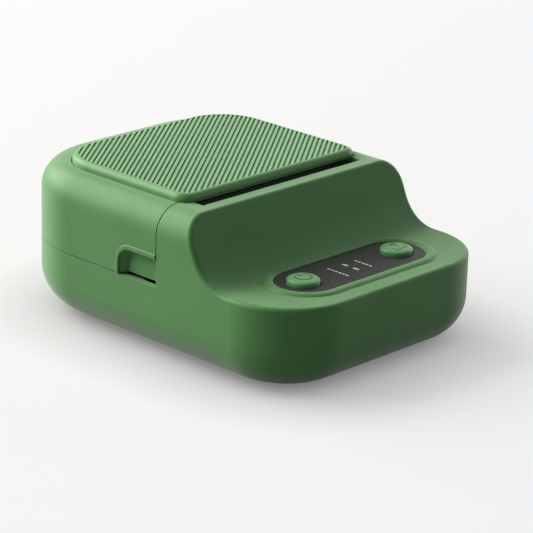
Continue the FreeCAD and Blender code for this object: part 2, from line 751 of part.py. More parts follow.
def main_housing():
    cover_room = block("cover_room", (f"-{FAR}", FAR), ("seam_y - seam_gap/2", FAR),
                       ("seam_height - seam_gap/2", SKY))
    lower = cut("housing_shell", shell, cover_room)
    ledge_inset = "(plate_inset - ledge_margin)"
    ledge = cut("ledge", outline_slab("ledge_outer", ledge_inset, (f"{FLOOR} - body_wall/2", LEDGE_TOP)),
                outline_slab("ledge_hole", "plate_inset + ledge_width", ("0", SKY)))
    boss_top = f"{LEDGE_TOP} + base_boss_height"
    base_bosses = posts("base_boss", BASE_SCREWS, (FLOOR, boss_top))
    chassis_bosses = posts("chassis_boss", CHASSIS_SCREWS, (FLOOR, "chassis_foot_height"))
    tray_bosses = posts("tray_boss", TRAY_SCREWS, (FLOOR, f"{TRAY_TOP} - tray_wall"), "board_post_radius")
    usb_posts = posts("usb_post", USB_BOARD_SCREWS, (FLOOR, f"{USB_BOARD_TOP} - board_thickness"),
                      "board_post_radius")
    main_posts = posts("main_board_post", MAIN_BOARD_SCREWS, (FLOOR, "main_board_height"),
                       "board_post_radius")
    hanging = posts("button_board_post", BUTTON_BOARD_SCREWS,
                    (BUTTON_BOARD_TOP, "deck_height - body_wall/2"), "board_post_radius")
    backing = pill("control_backing_plate", "control_half_length + body_wall",
                   "control_half_width + body_wall", "control_y",
                   (BACKING_BOTTOM, "deck_height - body_wall/2"))
    knuckles = []
    for side, x in (("right", ("knuckle_start", KNUCKLE_END)),
                    ("left", (f"-{KNUCKLE_END}", "-knuckle_start"))):
        barrel = rod(f"knuckle_{side}", "X", x, HINGE_Y, "seam_height", "hinge_barrel_radius")
        web = block(f"knuckle_web_{side}", x, (f"{HINGE_Y} - hinge_barrel_radius", BACK),
                    (f"seam_height - {HINGE_DEPTH} - body_wall", "seam_height"))
        full = fuse(f"knuckle_full_{side}", barrel, web)
        knuckles.append(common(f"knuckle_trim_{side}", full, outer_form))
    notch = block("hinge_notch", (f"-{HINGE_HALF} - knuckle_gap", f"{HINGE_HALF} + knuckle_gap"),
                  (f"{HINGE_Y} - hinge_barrel_radius - hinge_gap", FAR),
                  (f"seam_height - {HINGE_DEPTH}", SKY))
    opened = cut("housing_notched", lower, notch)
    added = fuse("housing_added", ledge, backing, *base_bosses, *chassis_bosses, *tray_bosses,
                 *usb_posts, *main_posts, *hanging)
    inner_trim = common("housing_inside", outer_form, added)
    whole = fuse("housing_whole", opened, inner_trim, bead(), *knuckles)
    plate_hole = outline_slab("plate_hole", "plate_inset - plate_gap", ("0", FLOOR))
    slot = block("paper_slot", ("-slot_half_width", "slot_half_width"), ("slot_lip_y", "seam_y"),
                 (FRAME_BOTTOM, SKY))
    panel_room = panel_slab("panel_room", "panel_gap", ("shoulder_height - 2*body_wall", SKY))
    recess = pill("control_recess", "control_half_length + control_gap", "control_half_width + control_gap",
                  "control_y", (CONTROL_FLOOR, SKY))
    button_holes = [rod(f"button_hole_{i}", "Z", x, "control_y", (f"{BACKING_BOTTOM} - body_wall", SKY),
                        "button_radius + button_gap")
                    for i, x in enumerate((BUTTON_X, f"-{BUTTON_X}"))]
    pipe_holes = [pipe_form(f"pipe_hole_{i}", y, "screw_clearance", (f"{BACKING_BOTTOM} - body_wall", SKY))
                  for i, y in enumerate(PIPE_YS)]
    usb_hole = usb_form("usb_hole", "usb_gap", (f"{BACK} - 3*body_wall", FAR))
    pin_hole = rod("housing_pin_hole", "X", (f"-{KNUCKLE_END} - body_wall", f"{KNUCKLE_END} + body_wall"),
                   HINGE_Y, "seam_height", "hinge_pin_radius")
    screw_holes = (holes("base_hole", BASE_SCREWS, ("0", boss_top))
                   + holes("chassis_hole", CHASSIS_SCREWS, (LEDGE_TOP, "chassis_foot_height"))
                   + holes("tray_hole", TRAY_SCREWS, (f"{TRAY_TOP} - tray_wall - screw_length", TRAY_TOP))
                   + holes("button_board_hole", BUTTON_BOARD_SCREWS,
                           (BUTTON_BOARD_TOP, f"{BUTTON_BOARD_TOP} + screw_length"))
                   + holes("main_board_hole", MAIN_BOARD_SCREWS,
                           ("main_board_height - screw_length", "main_board_height"))
                   + holes("usb_hole_screw", USB_BOARD_SCREWS,
                           (f"{USB_BOARD_TOP} - screw_length - board_thickness", USB_BOARD_TOP)))
    rack_room = block("rack_room", ("-guide_face - guide_thickness - guide_gap",
                                    "guide_face + guide_thickness + guide_gap"),
                      (f"{STEM_Y} - guide_gap", f"2*roll_y - {STEM_Y} + guide_gap"),
                      (FLOOR, f"{RACK_TOP} + guide_gap"))
    return node("main_housing", cut("housing", whole, plate_hole, slot, panel_room, recess, rack_room,
                                    *button_holes, *pipe_holes, usb_hole, pin_hole, *screw_holes))


def usb_form(name, grow, y):
    """Flat oval of the USB socket, running along Y."""
    run = "(usb_half_width - usb_half_height)"
    radius = f"usb_half_height + {grow}"
    middle = block(name + "_middle", (f"-{run}", run), y,
                   (f"usb_height - usb_half_height - ({grow})", f"usb_height + usb_half_height + {grow}"))
    ends = [rod(f"{name}_end_{i}", "Y", x, y, "usb_height", radius) for i, x in enumerate((run, f"-{run}"))]
    return fuse(name, middle, *ends)


def pipe_form(name, y, grow, z):
    """Upright light pipe with a flat oval section, its long axis along Y."""
    radius = f"light_pipe_half_width + {grow}"
    run = "(light_pipe_half_length - light_pipe_half_width)"
    middle = block(name + "_middle", (f"-({radius})", radius), (f"{y} - {run}", f"{y} + {run}"), z)
    ends = [rod(f"{name}_end_{sign}", "Z", "0", f"{y} {mark} {run}", z, radius)
            for sign, mark in (("front", "-"), ("back", "+"))]
    return fuse(name, middle, *ends)


# Underside

def base_plate():
    plate = outline_slab("plate_body", "plate_inset", ("foot_height", FLOOR))
    inside = f"{FLOOR} - body_wall/2"
    collar = rod("pinion_collar", "Z", "0", "roll_y", (inside, f"{RACK_BOTTOM} - rack_play"),
                 "2*guide_pinion_post_radius")
    post = rod("pinion_post", "Z", "0", "roll_y", (inside, RACK_TOP), "guide_pinion_post_radius")
    rails = [block(f"battery_rail_{i}", (f"{x} - battery_rail/2", f"{x} + battery_rail/2"),
                   ("battery_rail_front", "battery_back"), (inside, LEDGE_TOP))
             for i, x in enumerate(("battery_rail_x", "-battery_rail_x"))]
    sinks = [rod(f"base_sink_{i}", "Z", x, y, ("0", "foot_height + screw_head_height"),
                 "screw_head_radius + screw_clearance") for i, (x, y) in enumerate(BASE_SCREWS)]
    seats = [rod(f"foot_seat_{i}", "Z", x, y, ("0", "foot_height + foot_recess"), "foot_radius")
             for i, (x, y) in enumerate(FEET)]
    passes = holes("plate_hole_screw", BASE_SCREWS, ("0", LEDGE_TOP))
    whole = fuse("plate_whole", plate, collar, post, *rails)
    return node("base_plate", cut("plate", whole, *sinks, *seats, *passes))


def rubber_feet():
    feet = posts("foot", FEET, ("0", "foot_height + foot_recess"), "foot_radius")
    return node("rubber_feet", group("feet", feet))


# Top cover and its lid panel

def finger_notch():
    """Hollow in the cover's side, rounded at its upper back corner and bevelled along its wall."""
    deep = f"({SIDE} - notch_depth)"
    corners = [("seam_y - notch_corner", "0"), ("notch_back", "0"), ("notch_back", "notch_top"),
               ("seam_y - notch_corner", "notch_top")]
    body = prism("notch_form", "YZ_Plane", corners, deep, f"{SIDE} + notch_depth")
    back, top, floor = value("notch_back"), value("notch_top"), value(deep)
    round_edges(body, "notch_corner", lambda e: near(e.BoundBox.YMin, back) and near(e.BoundBox.ZMin, top))
    base = body.Tip
    edges = [(f"Edge{i}", edge.BoundBox) for i, edge in enumerate(base.Shape.Edges, start=1)]
    rim = [label for label, box in edges
           if near(box.XMax, floor) and box.YMax > value("seam_y") and box.ZMax > value("seam_height")]
    bevel = body.newObject("PartDesign::Chamfer", "notch_chamfer")
    bevel.Base = (base, rim)
    bind(bevel, Size="notch_bevel")
    doc.recompute()
    return body


def notch_bead():
    """Low rounded ridge along the top and the back of a finger notch."""
    face = f"({SIDE} + notch_bead_height)"
    far, high = "(notch_back + notch_bead_width)", "(notch_top + notch_bead_width)"
    low = "(seam_height - notch_corner)"
    corners = [("seam_y - notch_corner", low), (far, low), (far, high), ("seam_y - notch_corner", high)]
    body = prism("notch_bead_form", "YZ_Plane", corners, f"{SIDE} - body_wall/2", face)
    back, top, outside = value(far), value(high), value(face)
    round_edges(body, "notch_corner + notch_bead_width",
                lambda e: near(e.BoundBox.YMin, back) and near(e.BoundBox.ZMin, top))
    round_edges(body, "notch_bead_height", lambda e: near(e.BoundBox.XMin, outside)
                and (e.BoundBox.YMax > value("notch_back") or e.BoundBox.ZMin > value("notch_top"))
                and e.BoundBox.ZMax > value("seam_height"))
    return body


def top_cover():
    zone = block("cover_zone", (f"-{FAR}", FAR), ("seam_y + seam_gap/2", FAR), (COVER_BOTTOM, SKY))
    upper = common("cover_shell", shell, zone)
    frame_form = panel_slab("frame_outer", "panel_frame_margin", (FRAME_BOTTOM, "shoulder_height"))
    frame = cut("panel_frame", frame_form, panel_slab("frame_hole", "-panel_seat_width", ("0", SKY)))
    pad = block("notch_pad", (f"{SIDE} - body_wall - notch_depth", f"{SIDE} - body_wall/2"),
                ("seam_y", "notch_back + notch_backing"), ("seam_height", "notch_top + notch_backing"))
    added = fuse("cover_added", frame, *both_sides("notch_pad", pad))
    inside = common("cover_inside", added, outer_form, zone)
    centre = ("-knuckle_start + knuckle_gap", "knuckle_start - knuckle_gap")
    right = (f"{KNUCKLE_END} + knuckle_gap", HINGE_HALF)
    left = (f"-{HINGE_HALF}", f"-{KNUCKLE_END} - knuckle_gap")
    barrels = [rod(f"cover_barrel_{i}", "X", x, HINGE_Y, "seam_height", "hinge_barrel_radius")
               for i, x in enumerate((left, centre, right))]
    hinge = common("cover_hinge", fuse("cover_barrels", *barrels), outer_form)
    windows = [block(f"knuckle_window_{i}", x, (f"{HINGE_Y} - hinge_barrel_radius - hinge_gap", FAR),
                     ("0", f"seam_height + {HINGE_DEPTH}"))
               for i, x in enumerate((("knuckle_start - knuckle_gap", f"{KNUCKLE_END} + knuckle_gap"),
                                      (f"-{KNUCKLE_END} - knuckle_gap", "-knuckle_start + knuckle_gap")))]
    beads = common("notch_beads", fuse("notch_bead_pair", *both_sides("notch_bead", notch_bead())), zone)
    windowed = cut("cover_windowed", fuse("cover_filled", upper, inside), *windows)
    whole = fuse("cover_whole", windowed, hinge, beads)
    recess = panel_slab("panel_recess", "panel_gap", (PANEL_SEAT, SKY))
    notches = both_sides("notch", finger_notch())
    sill = block("notch_sill", (f"{SIDE} - notch_depth - body_wall/2", FAR),
                 ("seam_y", "notch_back - notch_bevel"), ("0", f"{COVER_BOTTOM} + notch_sill"))
    pin_hole = rod("cover_pin_hole", "X", (f"-{PIN_HALF} - knuckle_gap", f"{PIN_HALF} + knuckle_gap"),
                   HINGE_Y, "seam_height", "hinge_pin_radius + running_clearance")
    screw_holes = (holes("panel_screw_hole", PANEL_SCREWS, (f"{FRAME_BOTTOM} - body_wall", SKY))
                   + holes("carrier_screw_hole", CARRIER_SCREWS, (f"{FRAME_BOTTOM} - body_wall", SKY)))
    sills = both_sides("notch_sill", sill)
    return node("top_cover", cut("cover", whole, recess, *notches, *sills, pin_hole, *screw_holes))


def rib_grooves():
    """Slanting grooves between the ribs, kept inside a smooth border."""
    reach = "(panel_half_width + panel_back - panel_front)"
    middle_y = "(panel_front + panel_back)/2"
    count = math.ceil(value(reach) / 2 / value("rib_pitch"))
    bars = []
    for i in range(-count, count + 1):
        bar = doc.addObject("Part::Box", f"groove_{i + count}")
        across = f"({i}*rib_pitch - rib_groove/2)"
        bind(bar, Length=f"2*{reach}", Width="rib_groove", Height="2*rib_depth",
             Placement__Rotation__Angle="rib_angle",
             Placement__Base__x=f"-{reach}*cos(rib_angle) - {across}*sin(rib_angle)",
             Placement__Base__y=f"{middle_y} - {reach}*sin(rib_angle) + {across}*cos(rib_angle)",
             Placement__Base__z="panel_top - rib_depth")
        bars.append(bar)
    field = panel_slab("rib_field", "-rib_border", ("panel_top - rib_depth", "panel_top + rib_depth"))
    return common("rib_grooves", group("groove_bars", bars), field)


def lid_panel():
    body = panel_slab("panel_body", "0", (PANEL_SEAT, "panel_top"))
    round_edges(body, "panel_edge_fillet", level_at("panel_top"))
    hollow = panel_slab("panel_hollow", "-panel_wall", ("0", "panel_top - panel_wall"))
    bosses = posts("panel_boss", PANEL_SCREWS, (PANEL_SEAT, "panel_top - panel_wall/2"),
                   "panel_boss_radius")
    whole = fuse("panel_whole", cut("panel_skin", body, hollow), *bosses)
    screw_holes = holes("panel_boss_hole", PANEL_SCREWS, ("0", f"{FRAME_BOTTOM} + screw_length"))
    exit_x = ("-slot_half_width", "slot_half_width")
    exit_gap = block("exit_gap", exit_x, ("panel_front - exit_depth", "panel_front + exit_depth"),
                     ("0", "panel_top - exit_edge"))
    exit_step = block("exit_step", exit_x, ("panel_front - exit_step", "panel_front + exit_step"),
                      ("0", "panel_top - exit_step_edge"))
    return node("lid_panel", cut("panel", whole, rib_grooves(), exit_gap, exit_step, *screw_holes))


# Control panel, buttons and their board

def control_panel():
    plate = pill("control_plate", "control_half_length", "control_half_width", "control_y",
                 (CONTROL_FLOOR, "deck_height"))
    gaps = [rod(f"control_hole_{i}", "Z", x, "control_y", ("0", SKY), "button_radius + button_gap")
            for i, x in enumerate((BUTTON_X, f"-{BUTTON_X}"))]
    pipes = [pipe_form(f"control_pipe_hole_{i}", y, "screw_clearance", ("0", SKY))
             for i, y in enumerate(PIPE_YS)]
    return node("control_panel", cut("control", plate, *gaps, *pipes))


def button(name, x):
    """Domed cap with a flange that holds it under the deck, and the plunger of its key switch."""
    crown = "(deck_height + button_rise + button_dome)"
    ball_radius = "((button_radius^2 + button_dome^2)/(2*button_dome))"
    stem = rod(name + "_stem", "Z", x, "control_y", (BUTTON_FOOT, crown), "button_radius")
    ball = doc.addObject("Part::Sphere", name + "_ball")
    bind(ball, Radius=ball_radius, Placement__Base__x=x, Placement__Base__y="control_y",
         Placement__Base__z=f"{crown} - {ball_radius}")
    flange = rod(name + "_flange", "Z", x, "control_y",
                 (BUTTON_FOOT, f"{BUTTON_FOOT} + button_flange_thickness"), "button_radius + button_flange")
    node(f"{name}_button", fuse(name + "_cap", common(name + "_dome", stem, ball), flange))
    plunger = rod(name + "_plunger_rod", "Z", x, "control_y", (PLUNGER_FOOT, BUTTON_FOOT), "plunger_radius")
    node(f"{name}_plunger", plunger)


def key_switch(name, x):
    case = block(name + "_case", (f"{x} - switch_half_width", f"{x} + switch_half_width"),
                 ("control_y - switch_half_width", "control_y + switch_half_width"),
                 (BUTTON_BOARD_TOP, SWITCH_TOP))
    well = rod(name + "_well", "Z", x, "control_y", (f"{PLUNGER_FOOT} - button_travel - button_float", SKY),
               "plunger_radius + running_clearance")
    return node(f"{name}_switch", cut(name + "_switch_body", case, well))


def light_pipes():
    pipes = [pipe_form(f"light_pipe_{i}", y, "0", (f"{BUTTON_BOARD_TOP} + led_height", "deck_height"))
             for i, y in enumerate(PIPE_YS)]
    return node("light_pipes", group("pipes", pipes))


def button_board():
    board = block("button_board_sheet", ("-button_board_half_length", "button_board_half_length"),
                  ("control_y - button_board_half_width", "control_y + button_board_half_width"),
                  (f"{BUTTON_BOARD_TOP} - board_thickness", BUTTON_BOARD_TOP))
    leds = [block(f"led_{i}", ("-light_pipe_half_width", "light_pipe_half_width"),
                  (f"{y} - light_pipe_half_length", f"{y} + light_pipe_half_length"),
                  (BUTTON_BOARD_TOP, f"{BUTTON_BOARD_TOP} + led_height")) for i, y in enumerate(PIPE_YS)]
    gaps = holes("button_board_gap", BUTTON_BOARD_SCREWS, ("0", SKY))
    return node("button_board", cut("button_board_cut", fuse("button_board_full", board, *leds), *gaps))


# Main board, battery and USB socket

def main_board():
    top = "(main_board_height + board_thickness)"
    board = block("main_board_sheet", ("-main_board_half_length", "main_board_half_length"),
                  ("main_board_front", "main_board_back"), ("main_board_height", top))
    socket_y = ("main_board_back - socket_depth", "main_board_back - socket_setback")
    socket_z = (top, f"{top} + socket_height")
    ribbon_socket = block("ribbon_socket", ("ribbon_x - ribbon_half_width", "ribbon_x + ribbon_half_width"),
                          socket_y, socket_z)
    battery_socket = block("battery_socket",
                           ("battery_lead_x - socket_depth", "battery_lead_x + socket_depth"),
                           socket_y, socket_z)
    usb_socket_x = "(socket_setback - main_board_half_length)"
    usb_header = block("usb_header", (usb_socket_x, f"{usb_socket_x} + socket_depth"),
                       ("usb_lead_y - socket_depth", "usb_lead_y + socket_depth"), socket_z)
    chip = block("processor", ("-chip_half_width", "chip_half_width"),
                 ("chip_y - chip_half_width", "chip_y + chip_half_width"), (top, f"{top} + chip_height"))
    gaps = holes("main_board_gap", MAIN_BOARD_SCREWS, ("0", SKY))
    whole = fuse("main_board_full", board, ribbon_socket, battery_socket, usb_header, chip)
    return node("main_board", cut("main_board_cut", whole, *gaps))


def battery_pack():
    pack = slab("battery_body", ("-battery_half_length", "battery_half_length"),
                ("battery_front", "battery_back"), (LEDGE_TOP, f"{LEDGE_TOP} + battery_thickness"),
                "battery_corner")
    return node("battery_pack", pack)


def usb_board():
    back = f"({BACK} - body_wall - plate_gap)"
    board = block("usb_board_sheet", ("-usb_board_half_width", "usb_board_half_width"),
                  (f"{back} - usb_board_length", back),
                  (f"{USB_BOARD_TOP} - board_thickness", USB_BOARD_TOP))
    gaps = holes("usb_board_gap", USB_BOARD_SCREWS, ("0", SKY))
    return node("usb_board", cut("usb_board_cut", board, *gaps))


def usb_socket():
    mouth = f"({BACK} - usb_recess)"
    heel = f"({mouth} - usb_depth)"
    case = usb_form("usb_case", "0", (heel, mouth))
    well = usb_form("usb_well", "(-usb_skin)", (f"{heel} + 3*usb_skin", FAR))
    tongue = block("usb_tongue", ("-usb_tongue_half_width", "usb_tongue_half_width"),
                   (heel, f"{mouth} - 3*usb_skin"), ("usb_height - usb_skin", "usb_height + usb_skin"))
    return node("usb_socket", fuse("usb_full", cut("usb_hollow", case, well), tongue))


# Roll tray and its guides

def roll_tray():
    plate_zone = block("tray_zone", (f"-{FAR}", FAR),
                       ("tray_front", f"{HINGE_Y} - hinge_barrel_radius - 2*hinge_gap"), ("0", SKY))
    plate = common("tray_plate", outline_slab("tray_outline", "body_wall + tray_gap",
                                              (f"{TRAY_TOP} - tray_wall", TRAY_TOP)), plate_zone)
    tub_zone = block("tub_zone", (f"-{FAR}", FAR), (f"-{FAR}", FAR), (FLOOR, TRAY_TOP))
    tub_form = rod("tub_form", "X", ("-tray_half_width - tray_wall", "tray_half_width + tray_wall"),
                   "roll_y", "roll_z", TROUGH_OUTER)
    tub = common("tub", tub_form, tub_zone)
    trough = rod("trough", "X", ("-tray_half_width", "tray_half_width"), "roll_y", "roll_z",
                 "trough_radius")
    slot = block("guide_slot",
                 ("-guide_face - guide_thickness - guide_gap", "guide_gap + guide_travel - guide_face"),
                 (f"{STEM_Y} - guide_gap", f"{STEM_Y} + guide_stem_width + guide_gap"), ("0", "roll_z"))
    slots = [slot, turned("slot_turned", slot)]
    gaps = holes("tray_gap_hole", TRAY_SCREWS, ("0", SKY))
    return node("roll_tray", cut("tray", fuse("tray_whole", plate, tub), trough, *slots, *gaps))


def turned(name, source):
    """Copy turned half way round the guide pinion's axis."""
    flipped = doc.addObject("Part::Mirroring", name)
    flipped.Source = mirrored(name + "_half", source)
    flipped.Normal = FreeCAD.Vector(0, 1, 0)
    return bind(flipped, Base__y="roll_y")


def rack_bar():
    """Toothed bar of the left guide, with a gap between teeth at x = 0."""
    pitch = math.pi * value("gear_module")
    slope = math.tan(math.radians(value("gear_pressure_angle")))
    tip = value("gear_module")
    root = -value(DEDENDUM)
    line = value(f"roll_y - {GUIDE_PITCH_RADIUS}")
    half_tooth = pitch / 4 - value("gear_backlash") / 2
    start = value("-guide_face - guide_thickness")
    end = value("rack_reach")
    first = math.ceil((start - pitch / 2) / pitch + 0.5)
    last = math.floor((end - pitch / 2) / pitch - 0.5)
    points = [(start, value(STEM_Y)), (start, line + root)]
    for i in range(first, last + 1):
        centre = (i + 0.5) * pitch
        foot = half_tooth - root * slope
        crest = half_tooth - tip * slope
        points += [(centre - foot, line + root), (centre - crest, line + tip),
                   (centre + crest, line + tip), (centre + foot, line + root)]
    points += [(end, line + root), (end, value(STEM_Y))]
    vectors = [FreeCAD.Vector(x, y, 0) for x, y in points]
    outline = Part.makePolygon(vectors + vectors[:1])
    bar = doc.addObject("Part::Feature", "rack_bar")
    bar.Shape = Part.Face(outline).extrude(FreeCAD.Vector(0, 0, value("rack_height")))
    bar.Placement.Base = FreeCAD.Vector(0, 0, value(RACK_BOTTOM))
    return bar


def roll_guides():
    x = ("-guide_face - guide_thickness", "-guide_face")
    zone = block("guide_zone", x, ("roll_y - guide_half_width", "roll_y + guide_half_width"),
                 ("0", "guide_top"))
    wheel = rod("guide_round", "X", x, "roll_y", "roll_z", "trough_radius - guide_gap")
    disc = common("guide_disc", zone, wheel)
    hub = rod("guide_hub", "X", ("-guide_face", "guide_hub_height - guide_face"), "roll_y", "roll_z",
              "guide_hub_radius")
    stem = block("guide_stem", x, (STEM_Y, f"{STEM_Y} + guide_stem_width"),
                 (RACK_TOP, "roll_z - trough_radius/2"))
    left = fuse("guide_left_form", disc, hub, stem)
    node("roll_guide_left", left)
    node("roll_guide_right", turned("guide_right_form", left))
    bar = rack_bar()
    node("guide_rack_left", bar)
    node("guide_rack_right", turned("guide_rack_turned", bar))


# Gears

def involute(angle):
    return math.tan(angle) - angle


def gear_face(teeth):
    """Flat gear outline: each tooth has two involute flanks, drawn as arcs through three points."""
    module = value("gear_module")
    pressure = math.radians(value("gear_pressure_angle"))
    pitch = module * teeth / 2
    base = pitch * math.cos(pressure)
    root = pitch - value(DEDENDUM)
    tip = pitch + module
    half = math.pi / 2 / teeth - value("gear_backlash") / 2 / pitch

    def spot(radius, angle):
        return FreeCAD.Vector(radius * math.cos(angle), radius * math.sin(angle), 0)

    def spread(radius):
        reach = math.acos(min(1, base / max(radius, base)))
        return half + involute(pressure) - involute(reach)

    start = max(base, root)
    radii = (start, (start + tip) / 2, tip)
    edges = []
    for i in range(teeth):
        centre = 2 * math.pi * i / teeth
        rising = [spot(r, centre - spread(r)) for r in radii]
        falling = [spot(r, centre + spread(r)) for r in reversed(radii)]
        foot_in = spot(root, centre - spread(start))
        foot_out = spot(root, centre + spread(start))
        following = spot(root, centre + 2 * math.pi / teeth - spread(start))
        if start > root:
            edges.append(Part.LineSegment(foot_in, rising[0]).toShape())
        edges.append(Part.Arc(*rising).toShape())
        edges.append(Part.Arc(rising[2], spot(tip, centre), falling[0]).toShape())
        edges.append(Part.Arc(*falling).toShape())
        if start > root:
            edges.append(Part.LineSegment(falling[2], foot_out).toShape())
        edges.append(Part.Arc(foot_out, spot(root, centre + math.pi / teeth), following).toShape())
    return Part.Face(Part.Wire(edges))


ALONG_X = FreeCAD.Rotation(FreeCAD.Vector(1, 1, 1), 120)


def gear(label, teeth, bore, place, width, turn, phase):
    """Gear with a plain bore, its first tooth at the angle phase from the first cross axis."""
    wheel = doc.addObject("Part::Feature", label + "_wheel")
    solid = gear_face(teeth).extrude(FreeCAD.Vector(0, 0, width))
    wheel.Shape = solid.cut(Part.makeCylinder(value(bore), width))
    spin = FreeCAD.Rotation(FreeCAD.Vector(0, 0, 1), math.degrees(phase))
    wheel.Placement = FreeCAD.Placement(FreeCAD.Vector(*[value(part) for part in place]), turn * spin)
    return node(label, wheel)


def meshing_phase(phase, teeth, heading, other_teeth):
    """Phase of a gear that lies at a heading from a gear with the given phase, in mesh with it."""
    lead = (heading - phase) * teeth / (2 * math.pi)
    return heading + math.pi - (0.5 - lead) * 2 * math.pi / other_teeth


def gear_train():
    to_idler = math.atan2(value(f"{IDLER_Z} - platen_z"), value(f"{IDLER_Y} - platen_y"))
    to_motor = math.radians(value("motor_lead_angle"))
    width = value("gear_width")
    platen_phase = to_idler
    idler_phase = meshing_phase(platen_phase, PLATEN_TEETH, to_idler, IDLER_TEETH)
    pinion_phase = meshing_phase(idler_phase, IDLER_TEETH, to_motor, PINION_TEETH)
    low = f"-{GEAR_END}"
    gear("platen_gear", PLATEN_TEETH, "shaft_radius", (low, "platen_y", "platen_z"), width, ALONG_X,
         platen_phase)
    gear("idler_gear", IDLER_TEETH, "idler_post_radius + running_clearance", (low, IDLER_Y, IDLER_Z), width,
         ALONG_X, idler_phase)
    gear("motor_pinion", PINION_TEETH, "motor_shaft_radius", (low, MOTOR_Y, MOTOR_Z), width, ALONG_X,
         pinion_phase)
    gear("guide_pinion", GUIDE_TEETH, "guide_pinion_post_radius + running_clearance",
         ("0", "roll_y", RACK_BOTTOM), value("rack_height"), FreeCAD.Rotation(), 0)


# Platen under the cover

def platen():
    shaft = rod("platen_shaft_rod", "X", (f"-{GEAR_END} - knuckle_gap", f"{CHASSIS_OUTER} + gear_side_gap"),
                "platen_y", "platen_z", "shaft_radius")
    node("platen_shaft", shaft)
    x = ("-platen_half_length", "platen_half_length")
    rubber = rod("platen_rubber", "X", x, "platen_y", "platen_z", "platen_radius")
    core = rod("platen_core", "X", x, "platen_y", "platen_z", "shaft_radius")
    node("platen_roller", cut("platen_tube", rubber, core))


def platen_bushings():
    sleeve = rod("bushing_sleeve", "X", ("arm_start", CHASSIS_OUTER), "platen_y", "platen_z",
                 "bushing_radius")
    flange = rod("bushing_flange_disc", "X", ("arm_start - bushing_flange", "arm_start"), "platen_y",
                 "platen_z", "bushing_radius + bushing_flange")
    bore = rod("bushing_bore", "X", ("0", FAR), "platen_y", "platen_z", "shaft_radius + running_clearance")
    bushing = cut("bushing", fuse("bushing_full", sleeve, flange), bore)
    return node("platen_bushings", group("bushings", both_sides("bushing", bushing)))


def platen_carrier():
    roof = block("carrier_plate", ("-arm_end", "arm_end"), (CARRIER_FRONT, "carrier_back"),
                 (CARRIER_BOTTOM, FRAME_BOTTOM))
    arm = block("carrier_arm", ("arm_start", "arm_end"),
                ("platen_y - arm_half_width", "platen_y + arm_half_width"),
                ("platen_z - arm_half_width", CARRIER_BOTTOM))
    hood = block("carrier_hood", ("arm_start", "arm_end"), (CARRIER_FRONT, "platen_y + arm_half_width"),
                 (CARRIER_BOTTOM, FRAME_BOTTOM))
    tab = block("carrier_tab", ("arm_start", f"{PANEL_BOSS_X} + screw_boss_radius"),
                ("carrier_back - carrier_tab", "carrier_back"), (CARRIER_BOTTOM, FRAME_BOTTOM))
    bore = rod("carrier_bore", "X", (f"-{FAR}", FAR), "platen_y", "platen_z", "bushing_radius")
    gaps = holes("carrier_gap", CARRIER_SCREWS, ("0", SKY))
    side = fuse("carrier_side", arm, hood, tab)
    apron_front = "seam_y - apron_reach"
    apron = block("carrier_apron", ("-arm_end", "arm_end"), (apron_front, CARRIER_FRONT),
                  (CARRIER_BOTTOM, FRAME_BOTTOM))
    upstand = block("carrier_upstand", ("slot_end_gap - slot_half_width", "slot_half_width - slot_end_gap"),
                    (apron_front, f"{apron_front} + apron_wall"),
                    (f"{FRAME_BOTTOM} - panel_gap", PANEL_SEAT))
    whole = fuse("carrier_whole", roof, apron, upstand, *both_sides("carrier_side", side))
    return node("platen_carrier", cut("carrier", whole, bore, *gaps))


# Print chassis with head, motor and tear bar

def cradle(name):
    """Slot in a side plate through which a platen bushing leaves as the cover opens."""
    half = "(bushing_radius + cradle_gap)"
    rise_y = f"((platen_z - seam_height)/{HINGE_ARM})"
    rise_z = f"(({HINGE_Y} - platen_y)/{HINGE_ARM})"
    corners = []
    for side, lift in (("-", "0"), ("+", "0"), ("+", "body_length"), ("-", "body_length")):
        corners.append((f"platen_y {side} {half}*{rise_z} + {lift}*{rise_y}",
                        f"platen_z {'-' if side == '+' else '+'} {half}*{rise_y} + {lift}*{rise_z}"))
    way = prism(name + "_way", "YZ_Plane", corners, f"-{SIDE}", SIDE)
    seat = rod(name + "_seat", "X", (f"-{SIDE}", SIDE), "platen_y", "platen_z", half)
    return fuse(name, way, seat)


def print_chassis():
    plate = block("chassis_side", ("chassis_plate_start", CHASSIS_OUTER), ("chassis_front", "chassis_back"),
                  ("chassis_foot_height", "chassis_wall_top"))
    foot = block("chassis_foot", ("chassis_plate_start", f"{CHASSIS_OUTER} + chassis_foot_reach"),
                 ("chassis_front", "chassis_back"), ("chassis_foot_height", CHASSIS_FOOT_TOP))
    inner = ("-chassis_plate_start", "chassis_plate_start")
    wall = block("chassis_wall", inner, ("chassis_front", CHASSIS_WALL_BACK),
                 ("chassis_wall_bottom", "chassis_wall_top"))
    beam = block("chassis_beam", inner, ("beam_front", "chassis_back"), ("beam_height", BEAM_TOP))
    whole = fuse("chassis_whole", *both_sides("chassis_side", plate), *both_sides("chassis_foot", foot),
                 wall, beam)
    pin_hole = rod("head_pin_hole", "X", (f"-{SIDE}", SIDE), HEAD_PIN_Y, "head_pin_height",
                   "head_pin_radius")
    post_hole = rod("idler_post_hole", "X", (f"-{SIDE}", "0"), IDLER_Y, IDLER_Z, "idler_post_radius")
    motor_hole = rod("motor_hole", "X", (f"-{SIDE}", "-chassis_plate_start"), MOTOR_Y, MOTOR_Z,
                     "motor_shaft_radius + chassis_plate")
    gaps = holes("chassis_gap", CHASSIS_SCREWS, ("0", SKY))
    pinion_room = rod("pinion_room", "X", (f"-{GEAR_END} - gear_side_gap", f"-{CHASSIS_OUTER}"),
                      MOTOR_Y, MOTOR_Z, f"{PINION_TIP_RADIUS} + gear_side_gap")
    openings = [cradle("cradle"), pin_hole, post_hole, motor_hole, pinion_room]
    return node("print_chassis", cut("chassis", whole, *openings, *gaps))


